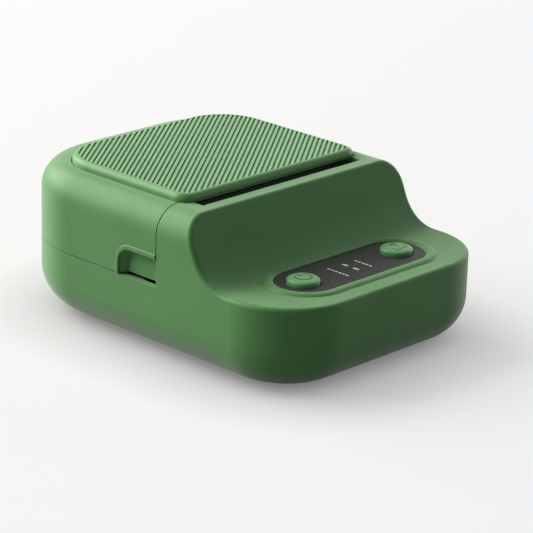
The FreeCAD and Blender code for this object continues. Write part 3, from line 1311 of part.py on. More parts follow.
def idler_post():
    neck = f"-{GEAR_END} - knuckle_gap"
    shank = rod("idler_post_shank", "X", (neck, "-chassis_plate_start"), IDLER_Y, IDLER_Z,
                "idler_post_radius")
    cap = rod("idler_post_cap", "X", (f"-{GEAR_END} - chassis_plate", neck), IDLER_Y, IDLER_Z,
              "2*idler_post_radius")
    return node("idler_post", fuse("idler_post_full", shank, cap))


def print_head():
    pin = ("head_pin_radius", "head_pin_radius + running_clearance")
    sink = block("heatsink_plate", ("-heatsink_half_width", "heatsink_half_width"),
                 (HEATSINK_BACK, HEATSINK_FACE), ("heatsink_bottom", "head_top"))
    bore = rod("heatsink_bore", "X", (f"-{SIDE}", SIDE), HEAD_PIN_Y, "head_pin_height", pin[1])
    node("head_heatsink", cut("heatsink", sink, bore))
    strip = block("head_strip", ("-head_half_width", "head_half_width"), (HEATSINK_FACE, HEAD_FACE),
                  ("head_bottom", "head_top"))
    node("print_head", strip)
    node("head_pivot_pin", rod("head_pin", "X", (f"-{CHASSIS_OUTER}", CHASSIS_OUTER), HEAD_PIN_Y,
                               "head_pin_height", pin[0]))


def tangent_arcs(start, heading, end, final_heading):
    """Two arcs from start to end that meet the given headings and share a tangent where they join."""
    chord = end - start
    spread = 2 * (1 - heading.dot(final_heading))
    along = chord.dot(heading + final_heading)
    reach = (math.sqrt(along ** 2 + spread * chord.dot(chord)) - along) / spread
    join = (start + heading * reach + end - final_heading * reach) * 0.5

    def middle(place, tangent):
        line = join - place
        normal = line - tangent * line.dot(tangent)
        radius = line.dot(line) / (2 * normal.Length)
        normal.normalize()
        centre = place + normal * radius
        outward = (place + join) * 0.5 - centre
        outward.normalize()
        return centre + outward * radius

    return [Part.Arc(start, middle(start, heading), join).toShape(),
            Part.Arc(join, middle(end, final_heading * -1), end).toShape()]


def coil_spring(name, x):
    """Coil spring along Y between the chassis wall and the heat sink, drawn in quarter turns."""
    radius = value("head_spring_radius")
    wire = value("head_spring_wire")
    seat = value(f"{CHASSIS_WALL_BACK} + head_spring_wire + running_clearance")
    length = value(f"{HEATSINK_BACK} - head_spring_wire - running_clearance") - seat
    rise = length / SPRING_TURNS
    height = value("platen_z")

    def spot(turn):
        angle = 2 * math.pi * turn
        return FreeCAD.Vector(x + radius * math.cos(angle), seat + rise * turn,
                              height + radius * math.sin(angle))

    def heading(turn):
        angle = 2 * math.pi * turn
        across = 2 * math.pi * radius
        return FreeCAD.Vector(-across * math.sin(angle), rise, across * math.cos(angle)).normalize()

    edges = []
    for quarter in range(4 * SPRING_TURNS):
        low, high = quarter / 4, (quarter + 1) / 4
        edges += tangent_arcs(spot(low), heading(low), spot(high), heading(high))
    path = Part.Wire(edges)
    ring = Part.Wire(Part.makeCircle(wire, spot(0), heading(0)))
    spring = doc.addObject("Part::Feature", name)
    spring.Shape = path.makePipeShell([ring], True, False)
    points = path.discretize(24 * SPRING_TURNS + 1)
    gap = min((a - b).Length for i, a in enumerate(points) for b in points[i + 12:]) - 2 * wire
    print(name, "least gap between turns", round(gap, 3))
    return spring


def head_springs():
    springs = [coil_spring(f"spring_{i}", side * value("head_spring_x")) for i, side in enumerate((1, -1))]
    return node("head_springs", group("springs", springs))


def feed_motor():
    can = rod("motor_can", "X", ("-chassis_plate_start", "motor_length - chassis_plate_start"),
              MOTOR_Y, MOTOR_Z, "motor_radius")
    shaft_x = (f"-{GEAR_END} - knuckle_gap", "motor_shaft_reach - chassis_plate_start")
    bore = rod("motor_bore", "X", (f"-{SIDE}", f"{shaft_x[1]} + knuckle_gap"), MOTOR_Y, MOTOR_Z,
               "motor_shaft_radius + running_clearance")
    node("feed_motor", cut("motor", can, bore))
    node("motor_shaft", rod("motor_rod", "X", shaft_x, MOTOR_Y, MOTOR_Z, "motor_shaft_radius"))


def tear_bar():
    """Strip with saw teeth along its upper edge, against the slot's lip."""
    half = value("slot_half_width - panel_gap")
    top = value("shoulder_height - tear_bar_drop")
    bottom = top - value("tear_bar_height")
    count = round(2 * half / value("tear_tooth_pitch"))
    step = 2 * half / count
    points = [(-half, bottom)]
    for i in range(count):
        points += [(-half + i * step, top - value("tear_tooth_height")), (-half + (i + 0.5) * step, top)]
    points += [(half, top - value("tear_tooth_height")), (half, bottom)]
    vectors = [FreeCAD.Vector(x, 0, z) for x, z in points]
    bar = doc.addObject("Part::Feature", "tear_strip")
    bar.Shape = Part.Face(Part.makePolygon(vectors + vectors[:1])).extrude(
        FreeCAD.Vector(0, value("tear_bar_thickness"), 0))
    bar.Placement.Base = FreeCAD.Vector(0, value("slot_lip_y"), 0)
    return node("tear_bar", bar)


def label_sensor():
    eye = block("sensor", ("sensor_x - sensor_half_length", "sensor_x + sensor_half_length"),
                ("chassis_back - sensor_width", "chassis_back"), (BEAM_TOP, f"{BEAM_TOP} + sensor_height"))
    return node("label_sensor", eye)


# Cables held inside the body

def head_ribbon():
    low = "(main_board_height + board_thickness + socket_height/2)"
    x = ("ribbon_x - ribbon_half_width", "ribbon_x + ribbon_half_width")
    outer, inner = f"({HEAD_PIN_Y} + ribbon_thickness/2)", f"({HEAD_PIN_Y} - ribbon_thickness/2)"
    under, over = f"({low} - ribbon_thickness/2)", f"({low} + ribbon_thickness/2)"
    end, top = "(main_board_back - socket_setback)", "(heatsink_bottom - ribbon_thickness)"
    corners = [(end, under), (outer, under), (outer, top), (inner, top), (inner, over), (end, over)]
    body = prism("ribbon_strip", "YZ_Plane", corners, x[0], x[1])
    for radius, y, z in (("ribbon_bend + ribbon_thickness", outer, under), ("ribbon_bend", inner, over)):
        place = FreeCAD.Vector(0, value(y), value(z))
        round_edges(body, radius, lambda e: crosswise(e) and near(e.CenterOfMass.y, place.y)
                    and near(e.CenterOfMass.z, place.z))
    return node("head_ribbon_cable", body)


def cable(label, route):
    """Round cable along straight runs joined by tangent arcs."""
    points = [FreeCAD.Vector(*[value(part) for part in place]) for place in route]
    edges = []
    start = points[0]
    for before, corner, after in zip(points, points[1:], points[2:]):
        arriving = corner - before
        leaving = after - corner
        trim = 0.45 * min(arriving.Length, leaving.Length)
        turn = arriving.getAngle(leaving)
        radius = trim / math.tan(turn / 2)
        arriving.normalize()
        leaving.normalize()
        inward = leaving - arriving
        inward.normalize()
        arc_start = corner - arriving * trim
        arc_end = corner + leaving * trim
        arc_middle = corner + inward * (radius / math.cos(turn / 2) - radius)
        edges.append(Part.LineSegment(start, arc_start).toShape())
        edges.append(Part.Arc(arc_start, arc_middle, arc_end).toShape())
        start = arc_end
    edges.append(Part.LineSegment(start, points[-1]).toShape())
    path = Part.Wire(edges)
    ring = Part.Wire(Part.makeCircle(value("cable_radius"), points[0], points[1] - points[0]))
    lead = doc.addObject("Part::Feature", label + "_tube")
    lead.Shape = path.makePipeShell([ring], True, False)
    section = math.pi * value("cable_radius") ** 2
    if abs(lead.Shape.Volume / (section * path.Length) - 1) > 0.01:
        raise RuntimeError(f"{label} is not a plain tube")
    return node(label, lead)


def cables():
    plug_z = "main_board_height + board_thickness + socket_height/2"
    battery_z = f"{LEDGE_TOP} + battery_thickness/2"
    socket_y = "main_board_back - socket_setback"
    cable("battery_lead", [("battery_lead_x", "battery_back", battery_z),
                           ("battery_lead_x", "battery_back + battery_lead_loop", battery_z),
                           ("battery_lead_x", "battery_back + battery_lead_loop", plug_z),
                           ("battery_lead_x", socket_y, plug_z)])
    start_z = f"{USB_BOARD_TOP} - board_thickness/2"
    start_y = "back - usb_post_setback + board_post_radius"
    cable("usb_cable", [("-usb_board_half_width", start_y, start_z),
                        ("29.5 - side", start_y, start_z),
                        ("18 - side", "back - 9.3", 14.5),
                        ("8.5 - side", "back - 18.3", 13),
                        ("4.6 - side", "back - 32.5", 14),
                        ("4.2 - side", "front + 70.5", 15.5),
                        ("4.7 - side", "front + 45.5", 17),
                        ("5.7 - side", "front + 30.5", plug_z),
                        ("usb_lead_bend - main_board_half_length", "usb_lead_y", plug_z),
                        ("socket_setback - main_board_half_length", "usb_lead_y", plug_z)])


def fasteners():
    node("base_screws", group("base_screw_set", screws("base_screw", BASE_SCREWS, "foot_height", True)))
    node("chassis_screws", group("chassis_screw_set", screws(
        "chassis_screw", CHASSIS_SCREWS, f"({CHASSIS_FOOT_TOP} + screw_head_height)", False)))
    node("tray_screws", group("tray_screw_set", screws(
        "tray_screw", TRAY_SCREWS, f"({TRAY_TOP} + screw_head_height)", False)))
    node("panel_screws", group("panel_screw_set", screws(
        "panel_screw", PANEL_SCREWS, f"({FRAME_BOTTOM} - screw_head_height)", True)))
    node("carrier_screws", group("carrier_screw_set", screws(
        "carrier_screw", CARRIER_SCREWS, f"({CARRIER_BOTTOM} - screw_head_height)", True)))
    boards = (screws("button_board_screw", BUTTON_BOARD_SCREWS,
                     f"({BUTTON_BOARD_TOP} - board_thickness - screw_head_height)", True)
              + screws("main_board_screw", MAIN_BOARD_SCREWS,
                       "(main_board_height + board_thickness + screw_head_height)", False)
              + screws("usb_board_screw", USB_BOARD_SCREWS,
                       f"({USB_BOARD_TOP} + screw_head_height)", False))
    node("board_screws", group("board_screw_set", boards))
    node("hinge_pin", rod("hinge_pin_rod", "X", (f"-{PIN_HALF}", PIN_HALF), HINGE_Y, "seam_height",
                          "hinge_pin_radius"))


main_housing()
base_plate()
rubber_feet()
top_cover()
lid_panel()
control_panel()
button("power", f"-{BUTTON_X}")
button("feed", BUTTON_X)
key_switch("power", f"-{BUTTON_X}")
key_switch("feed", BUTTON_X)
light_pipes()
button_board()
main_board()
battery_pack()
usb_board()
usb_socket()
roll_tray()
roll_guides()
gear_train()
platen()
platen_bushings()
platen_carrier()
print_chassis()
idler_post()
print_head()
head_springs()
feed_motor()
tear_bar()
label_sensor()
head_ribbon()
cables()
fasteners()

doc.recompute()
for item in doc.Objects:
    if "Invalid" in item.State or "Error" in item.State:
        raise RuntimeError(f"{item.Name} failed: {item.State}")
for item in nodes:
    if item.Shape.isNull() or not item.Shape.isValid():
        raise RuntimeError(f"{item.Label} has no valid shape")
os.makedirs("parts", exist_ok=True)
for item in nodes:
    item.Shape.exportStep(f"parts/{item.Label}.step")
    print(item.Label, len(item.Shape.Solids), round(item.Shape.Volume, 1))
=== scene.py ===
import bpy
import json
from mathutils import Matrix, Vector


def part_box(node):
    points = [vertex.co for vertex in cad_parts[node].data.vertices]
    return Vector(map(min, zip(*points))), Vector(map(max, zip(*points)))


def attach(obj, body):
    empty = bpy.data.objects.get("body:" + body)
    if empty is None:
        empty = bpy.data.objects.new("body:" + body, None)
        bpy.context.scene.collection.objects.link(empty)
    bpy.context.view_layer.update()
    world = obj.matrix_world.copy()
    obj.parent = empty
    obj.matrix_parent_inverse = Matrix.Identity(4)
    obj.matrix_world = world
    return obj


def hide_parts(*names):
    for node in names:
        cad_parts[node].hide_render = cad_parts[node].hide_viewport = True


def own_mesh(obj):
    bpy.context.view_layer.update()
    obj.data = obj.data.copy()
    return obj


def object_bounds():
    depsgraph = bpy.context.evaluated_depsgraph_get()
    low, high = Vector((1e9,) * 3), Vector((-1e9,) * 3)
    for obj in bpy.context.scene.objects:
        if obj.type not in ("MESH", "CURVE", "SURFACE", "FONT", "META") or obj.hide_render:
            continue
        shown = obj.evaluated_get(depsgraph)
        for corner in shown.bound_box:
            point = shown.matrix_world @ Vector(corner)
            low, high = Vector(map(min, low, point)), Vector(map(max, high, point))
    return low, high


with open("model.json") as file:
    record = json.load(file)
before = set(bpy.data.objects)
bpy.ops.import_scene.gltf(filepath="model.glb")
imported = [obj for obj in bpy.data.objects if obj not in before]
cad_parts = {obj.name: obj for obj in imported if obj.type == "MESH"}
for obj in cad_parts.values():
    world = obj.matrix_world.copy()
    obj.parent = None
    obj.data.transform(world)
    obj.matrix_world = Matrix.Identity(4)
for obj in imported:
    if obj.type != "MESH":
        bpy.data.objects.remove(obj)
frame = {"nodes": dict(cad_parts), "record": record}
cad_box = [list(corner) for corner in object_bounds()]

import json
import math

import bmesh
import bpy
from mathutils import Matrix, Vector

MM = 0.001

# Camera: a long lens, turned and tipped as the photograph was taken
IMAGE_WIDTH = 533
SENSOR_WIDTH = 36
CLIP_START = 50 * MM
FOCAL_PIXELS = 2482.1
CAMERA_AZIMUTH = math.radians(-46.42)
CAMERA_ELEVATION = math.radians(19.70)
CAMERA_ROLL = math.radians(1.74)
CAMERA_DISTANCE = 813.5 * MM
CAMERA_TARGET = Vector((0, 0, 25.75 * MM))
CAMERA_SLIDE = Vector((5.98 * MM, -7.65 * MM, 0))

# Symbols on the buttons and print on the control panel, where a stroke's crest is a share of its width, and
# the place where the lit lamp begins
SYMBOL_WIDTH = 0.55 * MM
SYMBOL_RISE = 0.07 * MM
PRINT_WIDTH = 0.8 * MM
PRINT_RISE = 0.02 * MM
DASH_LENGTH = 1.15 * MM
DASH_STEP = 1.55 * MM
STROKE_SINK = 0.03 * MM
STROKE_STEP = 0.25 * MM
STROKE_CREST = 0.68
LAMP_SPLIT_Y = -45.2 * MM

# Button caps: the flange's width and height, the crown above the straight wall, and how square its roll is
CAP_FLANGE = 1.0 * MM
CAP_CROWN = 1.35 * MM
CAP_ROLL = 0.66
CAP_ROWS = 14
CAP_SIDES = 72
CAP_SHARP = math.radians(50)

# Springs behind the print head
SPRING_WIRE = 0.25 * MM
SPRING_TURNS = 4
SPRING_STEPS = 160
SPRING_SIDES = 10

# Floor, room and lamps: the floor is pale where it is seen, and dimmer where something stands close to it,
# which is a painted contact shadow
FLOOR_GREY = 0.24
FLOOR_GLOW = 0.65
FLOOR_REACH = 30 * MM
PAINTED_SHADOW_LEVEL = 0.25
CONTACT_SAMPLES = 8
FLOOR_SIZE = 8.0
BACKGROUND = 0.89
ROOM_LIGHT = 0.155
LAMP_COLOUR = (1.0, 0.975, 0.93)
LAMP_AIM = (0, 0, 0.02)


# Materials

SHEEN_ROUGHNESS = 0.45
EDGE_SAMPLES = 6


def seen_rays(nodes, links):
    """One for rays from the camera and for rays that a surface mirrors or lets through, else zero."""
    path = nodes.new("ShaderNodeLightPath")
    seen = path.outputs["Is Camera Ray"]
    for kind in ("Is Glossy Ray", "Is Transmission Ray"):
        either = nodes.new("ShaderNodeMath")
        either.operation = "MAXIMUM"
        links.new(seen, either.inputs[0])
        links.new(path.outputs[kind], either.inputs[1])
        seen = either.outputs["Value"]
    return seen


class Tree:
    """Short way to write a material's nodes."""

    def __init__(self, name):
        self.material = bpy.data.materials.new(name)
        self.material.use_nodes = True
        self.nodes = self.material.node_tree.nodes
        self.links = self.material.node_tree.links
        self.nodes.clear()
        self.output = self.nodes.new("ShaderNodeOutputMaterial")
        self.surface = self.nodes.new("ShaderNodeBsdfPrincipled")
        self.links.new(self.surface.outputs["BSDF"], self.output.inputs["Surface"])
        self.place = self.add("TexCoord").outputs["Object"]

    def add(self, kind, **settings):
        """New node of a kind, with its settings."""
        made = self.nodes.new("ShaderNode" + kind)
        for key, setting in settings.items():
            setattr(made, key, setting)
        return made

    def set(self, node, **values):
        """Give sockets a value, or link them where the value is another socket."""
        for key, given in values.items():
            socket = node.inputs[key.replace("_", " ")]
            if isinstance(given, bpy.types.NodeSocket):
                self.links.new(given, socket)
            else:
                socket.default_value = given
        return node

    def noise(self, size, detail=2.0, roughness=0.5):
        """Noise whose spots are about the given size in metres."""
        made = self.add("TexNoise")
        self.set(made, Vector=self.place, Scale=1 / size, Detail=detail, Roughness=roughness)
        return made.outputs["Fac"]

    def cells(self, size):
        """Rounded cells of about the given size in metres."""
        made = self.add("TexVoronoi", feature="SMOOTH_F1")
        self.set(made, Vector=self.place, Scale=1 / size)
        return made.outputs["Distance"]

    def span(self, source, low, high, start=0.0, end=1.0):
        """Map a value between start and end to one between low and high."""
        made = self.add("MapRange")
        self.set(made, Value=source, From_Min=start, From_Max=end, To_Min=low, To_Max=high)
        return made.outputs["Result"]

    def blend(self, factor, first, second):
        """Mix two colours."""
        made = self.add("Mix", data_type="RGBA")
        for index, given in ((0, factor), (6, first), (7, second)):
            if isinstance(given, bpy.types.NodeSocket):
                self.links.new(given, made.inputs[index])
            else:
                made.inputs[index].default_value = given
        return made.outputs[2]

    def edges(self, radius):
        """Zero on flat stretches, rising towards one at sharp edges, and the softened normal."""
        soft = self.add("Bevel", samples=EDGE_SAMPLES)
        self.set(soft, Radius=radius)
        true = self.add("NewGeometry").outputs["Normal"]
        made = self.add("VectorMath", operation="DOT_PRODUCT")
        self.links.new(soft.outputs["Normal"], made.inputs[0])
        self.links.new(true, made.inputs[1])
        return self.span(made.outputs["Value"], 1.0, 0.0, 0.8, 1.0), soft.outputs["Normal"]

    def glow(self, strength, reach):
        """Brighten the surface where it is seen or mirrored, less so where something stands within reach,
        which paints a contact shadow.
        """
        near = self.add("AmbientOcclusion", samples=CONTACT_SAMPLES)
        self.set(near, Distance=reach)
        # Painted contact shadow: the glow is dimmed where the ambient occlusion finds something near
        painted_shadow = self.span(near.outputs["AO"], PAINTED_SHADOW_LEVEL, 1.0)
        lit = self.add("Math", operation="MULTIPLY")
        self.links.new(seen_rays(self.nodes, self.links), lit.inputs[0])
        self.links.new(painted_shadow, lit.inputs[1])
        lamp = self.add("Emission")
        self.set(lamp, Color=(1, 1, 1, 1), Strength=self.span(lit.outputs["Value"], 0.0, strength))
        both = self.add("AddShader")
        self.links.new(self.surface.outputs["BSDF"], both.inputs[0])
        self.links.new(lamp.outputs["Emission"], both.inputs[1])
        self.links.new(both.outputs["Shader"], self.output.inputs["Surface"])

    def bump(self, height, depth, normal=None):
        """Normal roughened by a height of the given depth in metres."""
        made = self.add("Bump")
        self.set(made, Height=height, Distance=depth, Strength=1.0)
        if normal is not None:
            self.links.new(normal, made.inputs["Normal"])
        return made.outputs["Normal"]


def shaded(colour, factor):
    """Colour made darker or lighter, with its alpha."""
    return tuple(channel * factor for channel in colour) + (1.0,)


def moulded(name, colour, roughness, grain=0.25 * MM, depth=0.004 * MM, edge=0.25 * MM, worn=1.25,
            specular=0.3, sheen=0.0, haze=(1, 1, 1)):
    """Moulded plastic: cloudy colour, spark-eroded grain, and edges rubbed a little lighter."""
    tree = Tree(name)
    clouds = tree.noise(22 * MM, detail=3.0)
    specks = tree.noise(0.6 * MM, detail=2.0)
    wear, soft = tree.edges(edge)
    tinted = tree.blend(tree.span(clouds, 0.0, 1.0, 0.3, 0.7), shaded(colour, 0.94), shaded(colour, 1.05))
    flecked = tree.blend(tree.span(specks, 0.0, 0.3, 0.45, 0.8), tinted, shaded(colour, 0.85))
    rubbed = tree.blend(tree.span(wear, 0.0, 0.6), flecked, shaded(colour, worn))
    tree.set(tree.surface, Base_Color=rubbed, Specular_IOR_Level=specular,
             Sheen_Weight=sheen, Sheen_Roughness=SHEEN_ROUGHNESS, Sheen_Tint=shaded(haze, 1.0),
             Roughness=tree.span(specks, roughness - 0.05, roughness + 0.06, 0.3, 0.7),
             Normal=tree.bump(tree.cells(grain), depth, soft))
    return tree.material


def metal(name, colour, roughness, streak, edge=0.12 * MM):
    """Bare metal: fine drawn lines along one axis, faint stains and bright edges."""
    tree = Tree(name)
    stretch = tree.add("Mapping")
    tree.set(stretch, Vector=tree.place, Scale=streak)
    lines = tree.add("TexNoise")
    tree.set(lines, Vector=stretch.outputs["Vector"], Scale=1 / (0.25 * MM), Detail=3.0)
    stains = tree.noise(9 * MM, detail=4.0)
    wear, soft = tree.edges(edge)
    dulled = tree.blend(tree.span(stains, 0.0, 0.5, 0.4, 0.75), shaded(colour, 1.0), shaded(colour, 0.78))
    bright = tree.blend(tree.span(wear, 0.0, 0.5), dulled, shaded(colour, 1.15))
    tree.set(tree.surface, Base_Color=bright, Metallic=1.0,
             Roughness=tree.span(lines.outputs["Fac"], roughness - 0.08, roughness + 0.1, 0.3, 0.7),
             Normal=tree.bump(lines.outputs["Fac"], 0.004 * MM, soft))
    return tree.material


def rubber(name, colour):
    """Soft matt rubber with dust caught in a coarse grain."""
    tree = Tree(name)
    grain = tree.noise(0.35 * MM, detail=4.0, roughness=0.65)
    dust = tree.noise(5 * MM, detail=3.0)
    soft = tree.edges(0.2 * MM)[1]
    dusty = tree.blend(tree.span(dust, 0.0, 0.35, 0.45, 0.8), shaded(colour, 1.0), shaded(colour, 2.2))
    tree.set(tree.surface, Base_Color=dusty, Roughness=tree.span(grain, 0.72, 0.92, 0.3, 0.7),
             Normal=tree.bump(grain, 0.012 * MM, soft))
    return tree.material


def circuit(name, mask, copper):
    """Board laminate: solder mask over faint square tracks, with a weave below it."""
    tree = Tree(name)
    tracks = tree.add("TexBrick")
    tree.set(tracks, Vector=tree.place, Scale=1 / (14 * MM), Mortar_Size=0.02,
             Color1=(0, 0, 0, 1), Color2=(0.12, 0.12, 0.12, 1), Mortar=(1, 1, 1, 1))
    weave = tree.noise(0.5 * MM, detail=1.0)
    field = tree.blend(tree.span(weave, 0.0, 0.4), shaded(mask, 1.0), shaded(mask, 1.25))
    lined = tree.blend(tracks.outputs["Fac"], field, shaded(copper, 1.0))
    tree.set(tree.surface, Base_Color=lined, Roughness=tree.span(weave, 0.32, 0.46),
             Normal=tree.bump(tracks.outputs["Fac"], 0.02 * MM))
    return tree.material


def light_pipe(name, lit, unlit, glow):
    """Clear plastic with an uneven core: the pipe behind the split is lit, the one in front of it is not."""
    tree = Tree(name)
    cloud = tree.noise(0.8 * MM, detail=1.0)
    depth = tree.add("SeparateXYZ")
    tree.set(depth, Vector=tree.place)
    behind = tree.span(depth.outputs["Y"], 0.0, 1.0, LAMP_SPLIT_Y - 0.1 * MM, LAMP_SPLIT_Y + 0.1 * MM)
    core = tree.blend(behind, shaded(unlit, 1.0), shaded(lit, 1.0))
    tree.set(tree.surface, Base_Color=tree.blend(tree.span(cloud, 0.0, 0.4), core, shaded(unlit, 0.6)),
             Roughness=tree.span(cloud, 0.2, 0.35), Emission_Color=core,
             Emission_Strength=tree.span(behind, 0.0, glow))
    return tree.material


def printed(name, colour):
    """Screen-printed ink, thin in places."""
    tree = Tree(name)
    thin = tree.noise(0.3 * MM, detail=3.0)
    tree.set(tree.surface, Base_Color=tree.blend(tree.span(thin, 0.0, 0.6, 0.4, 0.8), shaded(colour, 1.0),
                                                 shaded(colour, 0.7)),
             Roughness=tree.span(thin, 0.5, 0.65))
    return tree.material


GREEN = (0.090, 0.258, 0.080)
MATERIALS = {
    "shell_green": moulded("shell_green", GREEN, 0.42, specular=0.15, sheen=0.35),
    "lid_green": moulded("lid_green", GREEN, 0.40, specular=0.25, sheen=0.6, haze=(0.7, 1.0, 0.7)),
    "button_green": moulded("button_green", (0.145, 0.385, 0.145), 0.36, depth=0.002 * MM, sheen=0.3),
    "symbol_green": moulded("symbol_green", (0.035, 0.105, 0.038), 0.45, depth=0.001 * MM, edge=0.05 * MM),
    "panel_black": moulded("panel_black", (0.019, 0.020, 0.018), 0.48, depth=0.003 * MM),
    "dark_plastic": moulded("dark_plastic", (0.035, 0.037, 0.038), 0.5, depth=0.006 * MM),
    "white_plastic": moulded("white_plastic", (0.72, 0.71, 0.67), 0.42, depth=0.002 * MM, worn=1.1),
    "battery_wrap": moulded("battery_wrap", (0.10, 0.13, 0.19), 0.35, depth=0.002 * MM),
    "ceramic": moulded("ceramic", (0.66, 0.63, 0.56), 0.25, depth=0.001 * MM, worn=1.1),
    "cable_jacket": rubber("cable_jacket", (0.03, 0.03, 0.03)),
    "black_rubber": rubber("black_rubber", (0.02, 0.02, 0.02)),
    "ribbon_tan": moulded("ribbon_tan", (0.42, 0.22, 0.05), 0.3, depth=0.001 * MM),
    "steel": metal("steel", (0.60, 0.60, 0.61), 0.28, (0.05, 1.0, 1.0)),
    "sheet_metal": metal("sheet_metal", (0.52, 0.53, 0.55), 0.38, (1.0, 0.08, 0.3)),
    "aluminium": metal("aluminium", (0.70, 0.71, 0.73), 0.42, (0.05, 1.0, 1.0)),
    "board_green": circuit("board_green", (0.012, 0.085, 0.035), (0.03, 0.16, 0.07)),
    "lamp_clear": light_pipe("lamp_clear", (0.30, 0.62, 0.30), (0.70, 0.71, 0.70), 0.25),
    "ink_white": printed("ink_white", (0.72, 0.74, 0.72)),
}

for part in frame["record"]["subparts"]:
    solid = frame["nodes"][part["node"]]
    solid.data.materials.clear()
    finish = "lid_green" if part["node"] == "lid_panel" else part["material_slot"]
    solid.data.materials.append(MATERIALS[finish])


# Pieces

def add_piece(name, bed, material, body):
    """Turn a built mesh into a piece that rides on a body."""
    bmesh.ops.recalc_face_normals(bed, faces=bed.faces)
    mesh = bpy.data.meshes.new(name)
    bed.to_mesh(mesh)
    bed.free()
    mesh.materials.append(MATERIALS[material])
    piece = bpy.data.objects.new(name, mesh)
    bpy.context.collection.objects.link(piece)
    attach(piece, body)
    return piece


def add_tube(bed, rings):
    """Faces between rings of as many points each."""
    for first, second in zip(rings, rings[1:]):
        for side in range(len(first)):
            after = (side + 1) % len(first)
            bed.faces.new((first[side], first[after], second[after], second[side]))


# Button caps, the symbols on them and the print on the control panel

def add_cap(name, node, body):
    """Turned button cap with a soft rolled edge, in the place of the plain one."""
    low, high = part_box(node)
    middle = (low + high) / 2
    flange = (high.x - low.x) / 2
    radius = flange - CAP_FLANGE
    step, base = low.z + CAP_FLANGE, high.z - CAP_CROWN
    profile = [(flange, low.z), (flange, step), (radius, step), (radius, base)]
    for index in range(1, CAP_ROWS):
        turn = math.pi / 2 * index / CAP_ROWS
        profile.append((radius * math.cos(turn) ** CAP_ROLL, base + CAP_CROWN * math.sin(turn) ** CAP_ROLL))
    bed = bmesh.new()
    rings = []
    for distance, height in profile:
        ring = []
        for side in range(CAP_SIDES):
            turn = 2 * math.pi * side / CAP_SIDES
            x = middle.x + distance * math.cos(turn)
            y = middle.y + distance * math.sin(turn)
            ring.append(bed.verts.new((x, y, height)))
        rings.append(ring)
    add_tube(bed, rings)
    crown = bed.verts.new((middle.x, middle.y, high.z))
    for side in range(CAP_SIDES):
        bed.faces.new((rings[-1][side], rings[-1][(side + 1) % CAP_SIDES], crown))
    bed.faces.new(reversed(rings[0]))
    piece = add_piece(name, bed, "button_green", body)
    piece.data.shade_smooth()
    piece.data.set_sharp_from_angle(angle=CAP_SHARP)
    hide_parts(node)
    return piece


power_cap = add_cap("power_cap", "power_button", "power_key")
feed_cap = add_cap("feed_cap", "feed_button", "feed_key")
bpy.context.view_layer.update()


def along(points):
    """The corner points of a stroke, with more of them on its long runs."""
    found = [Vector(points[0])]
    for goal in points[1:]:
        begin = found[-1]
        run = Vector(goal) - begin
        steps = max(1, math.ceil(run.length / STROKE_STEP))
        found.extend(begin + run * (step + 1) / steps for step in range(steps))
    return found


def arc(radius, start, end, steps=40):
    """Points of an arc between two angles in degrees."""
    turns = (math.radians(start + (end - start) * step / steps) for step in range(steps + 1))
    return [(radius * math.cos(turn), radius * math.sin(turn)) for turn in turns]


def add_strokes(name, strokes, middle, width, rise, ground, body, material):
    """Strokes drawn in plan round a middle point, laid as low ridges on the top of an object."""
    bed = bmesh.new()
    above = cad_box[1][2]
    foot, crest = 0.5, STROKE_CREST / 2
    section = ((-foot, -STROKE_SINK), (-crest, rise), (crest, rise), (foot, -STROKE_SINK))
    for stroke in strokes:
        line = along(stroke)
        rows = []
        for index, spot in enumerate(line):
            ahead = line[min(index + 1, len(line) - 1)] - line[max(index - 1, 0)]
            across = Vector((-ahead.y, ahead.x)).normalized()
            row = []
            for side, height in section:
                flat = Vector(middle) + spot + across * side * width
                hit = ground.ray_cast((flat.x, flat.y, above), (0, 0, -1))[1]
                row.append(bed.verts.new((flat.x, flat.y, hit.z + height)))
            rows.append(row)
        add_tube(bed, rows)
        bed.faces.new(rows[0])
        bed.faces.new(reversed(rows[-1]))
    add_piece(name, bed, material, body)


def centre(node):
    """Middle of a node in plan."""
    low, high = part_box(node)
    return ((low.x + high.x) / 2, (low.y + high.y) / 2)


POWER_RADIUS = 2.6 * MM
POWER_GAP_END, POWER_GAP_START = 128, 412
POWER_BAR = [(0, 0.6 * MM), (0, 3.1 * MM)]
POWER_STROKES = [arc(POWER_RADIUS, POWER_GAP_END, POWER_GAP_START), POWER_BAR]
TRAY = [(-2.6, -0.3), (-2.6, -2.4), (2.6, -2.4), (2.6, -0.3)]
ARROW = [[(0, -1.3), (0, 2.8)], [(-1.4, 1.4), (0, 2.8), (1.4, 1.4)]]
FEED_STROKES = [[(x * MM, y * MM) for x, y in stroke] for stroke in [TRAY] + ARROW]
add_strokes("power_symbol", POWER_STROKES, centre("power_button"), SYMBOL_WIDTH, SYMBOL_RISE,
            power_cap, "power_key", "symbol_green")
add_strokes("feed_symbol", FEED_STROKES, centre("feed_button"), SYMBOL_WIDTH, SYMBOL_RISE,
            feed_cap, "feed_key", "symbol_green")

PRINT_ROWS = (("left", -6.6 * MM, -41.4 * MM, 6), ("right", 5.5 * MM, -41.9 * MM, 5))
for side, x, back, dashes in PRINT_ROWS:
    row = [[(0, -step * DASH_STEP), (0, -step * DASH_STEP - DASH_LENGTH)] for step in range(dashes)]
    add_strokes("print_" + side, row, (x, back), PRINT_WIDTH, PRINT_RISE,
                frame["nodes"]["control_panel"], "base", "ink_white")
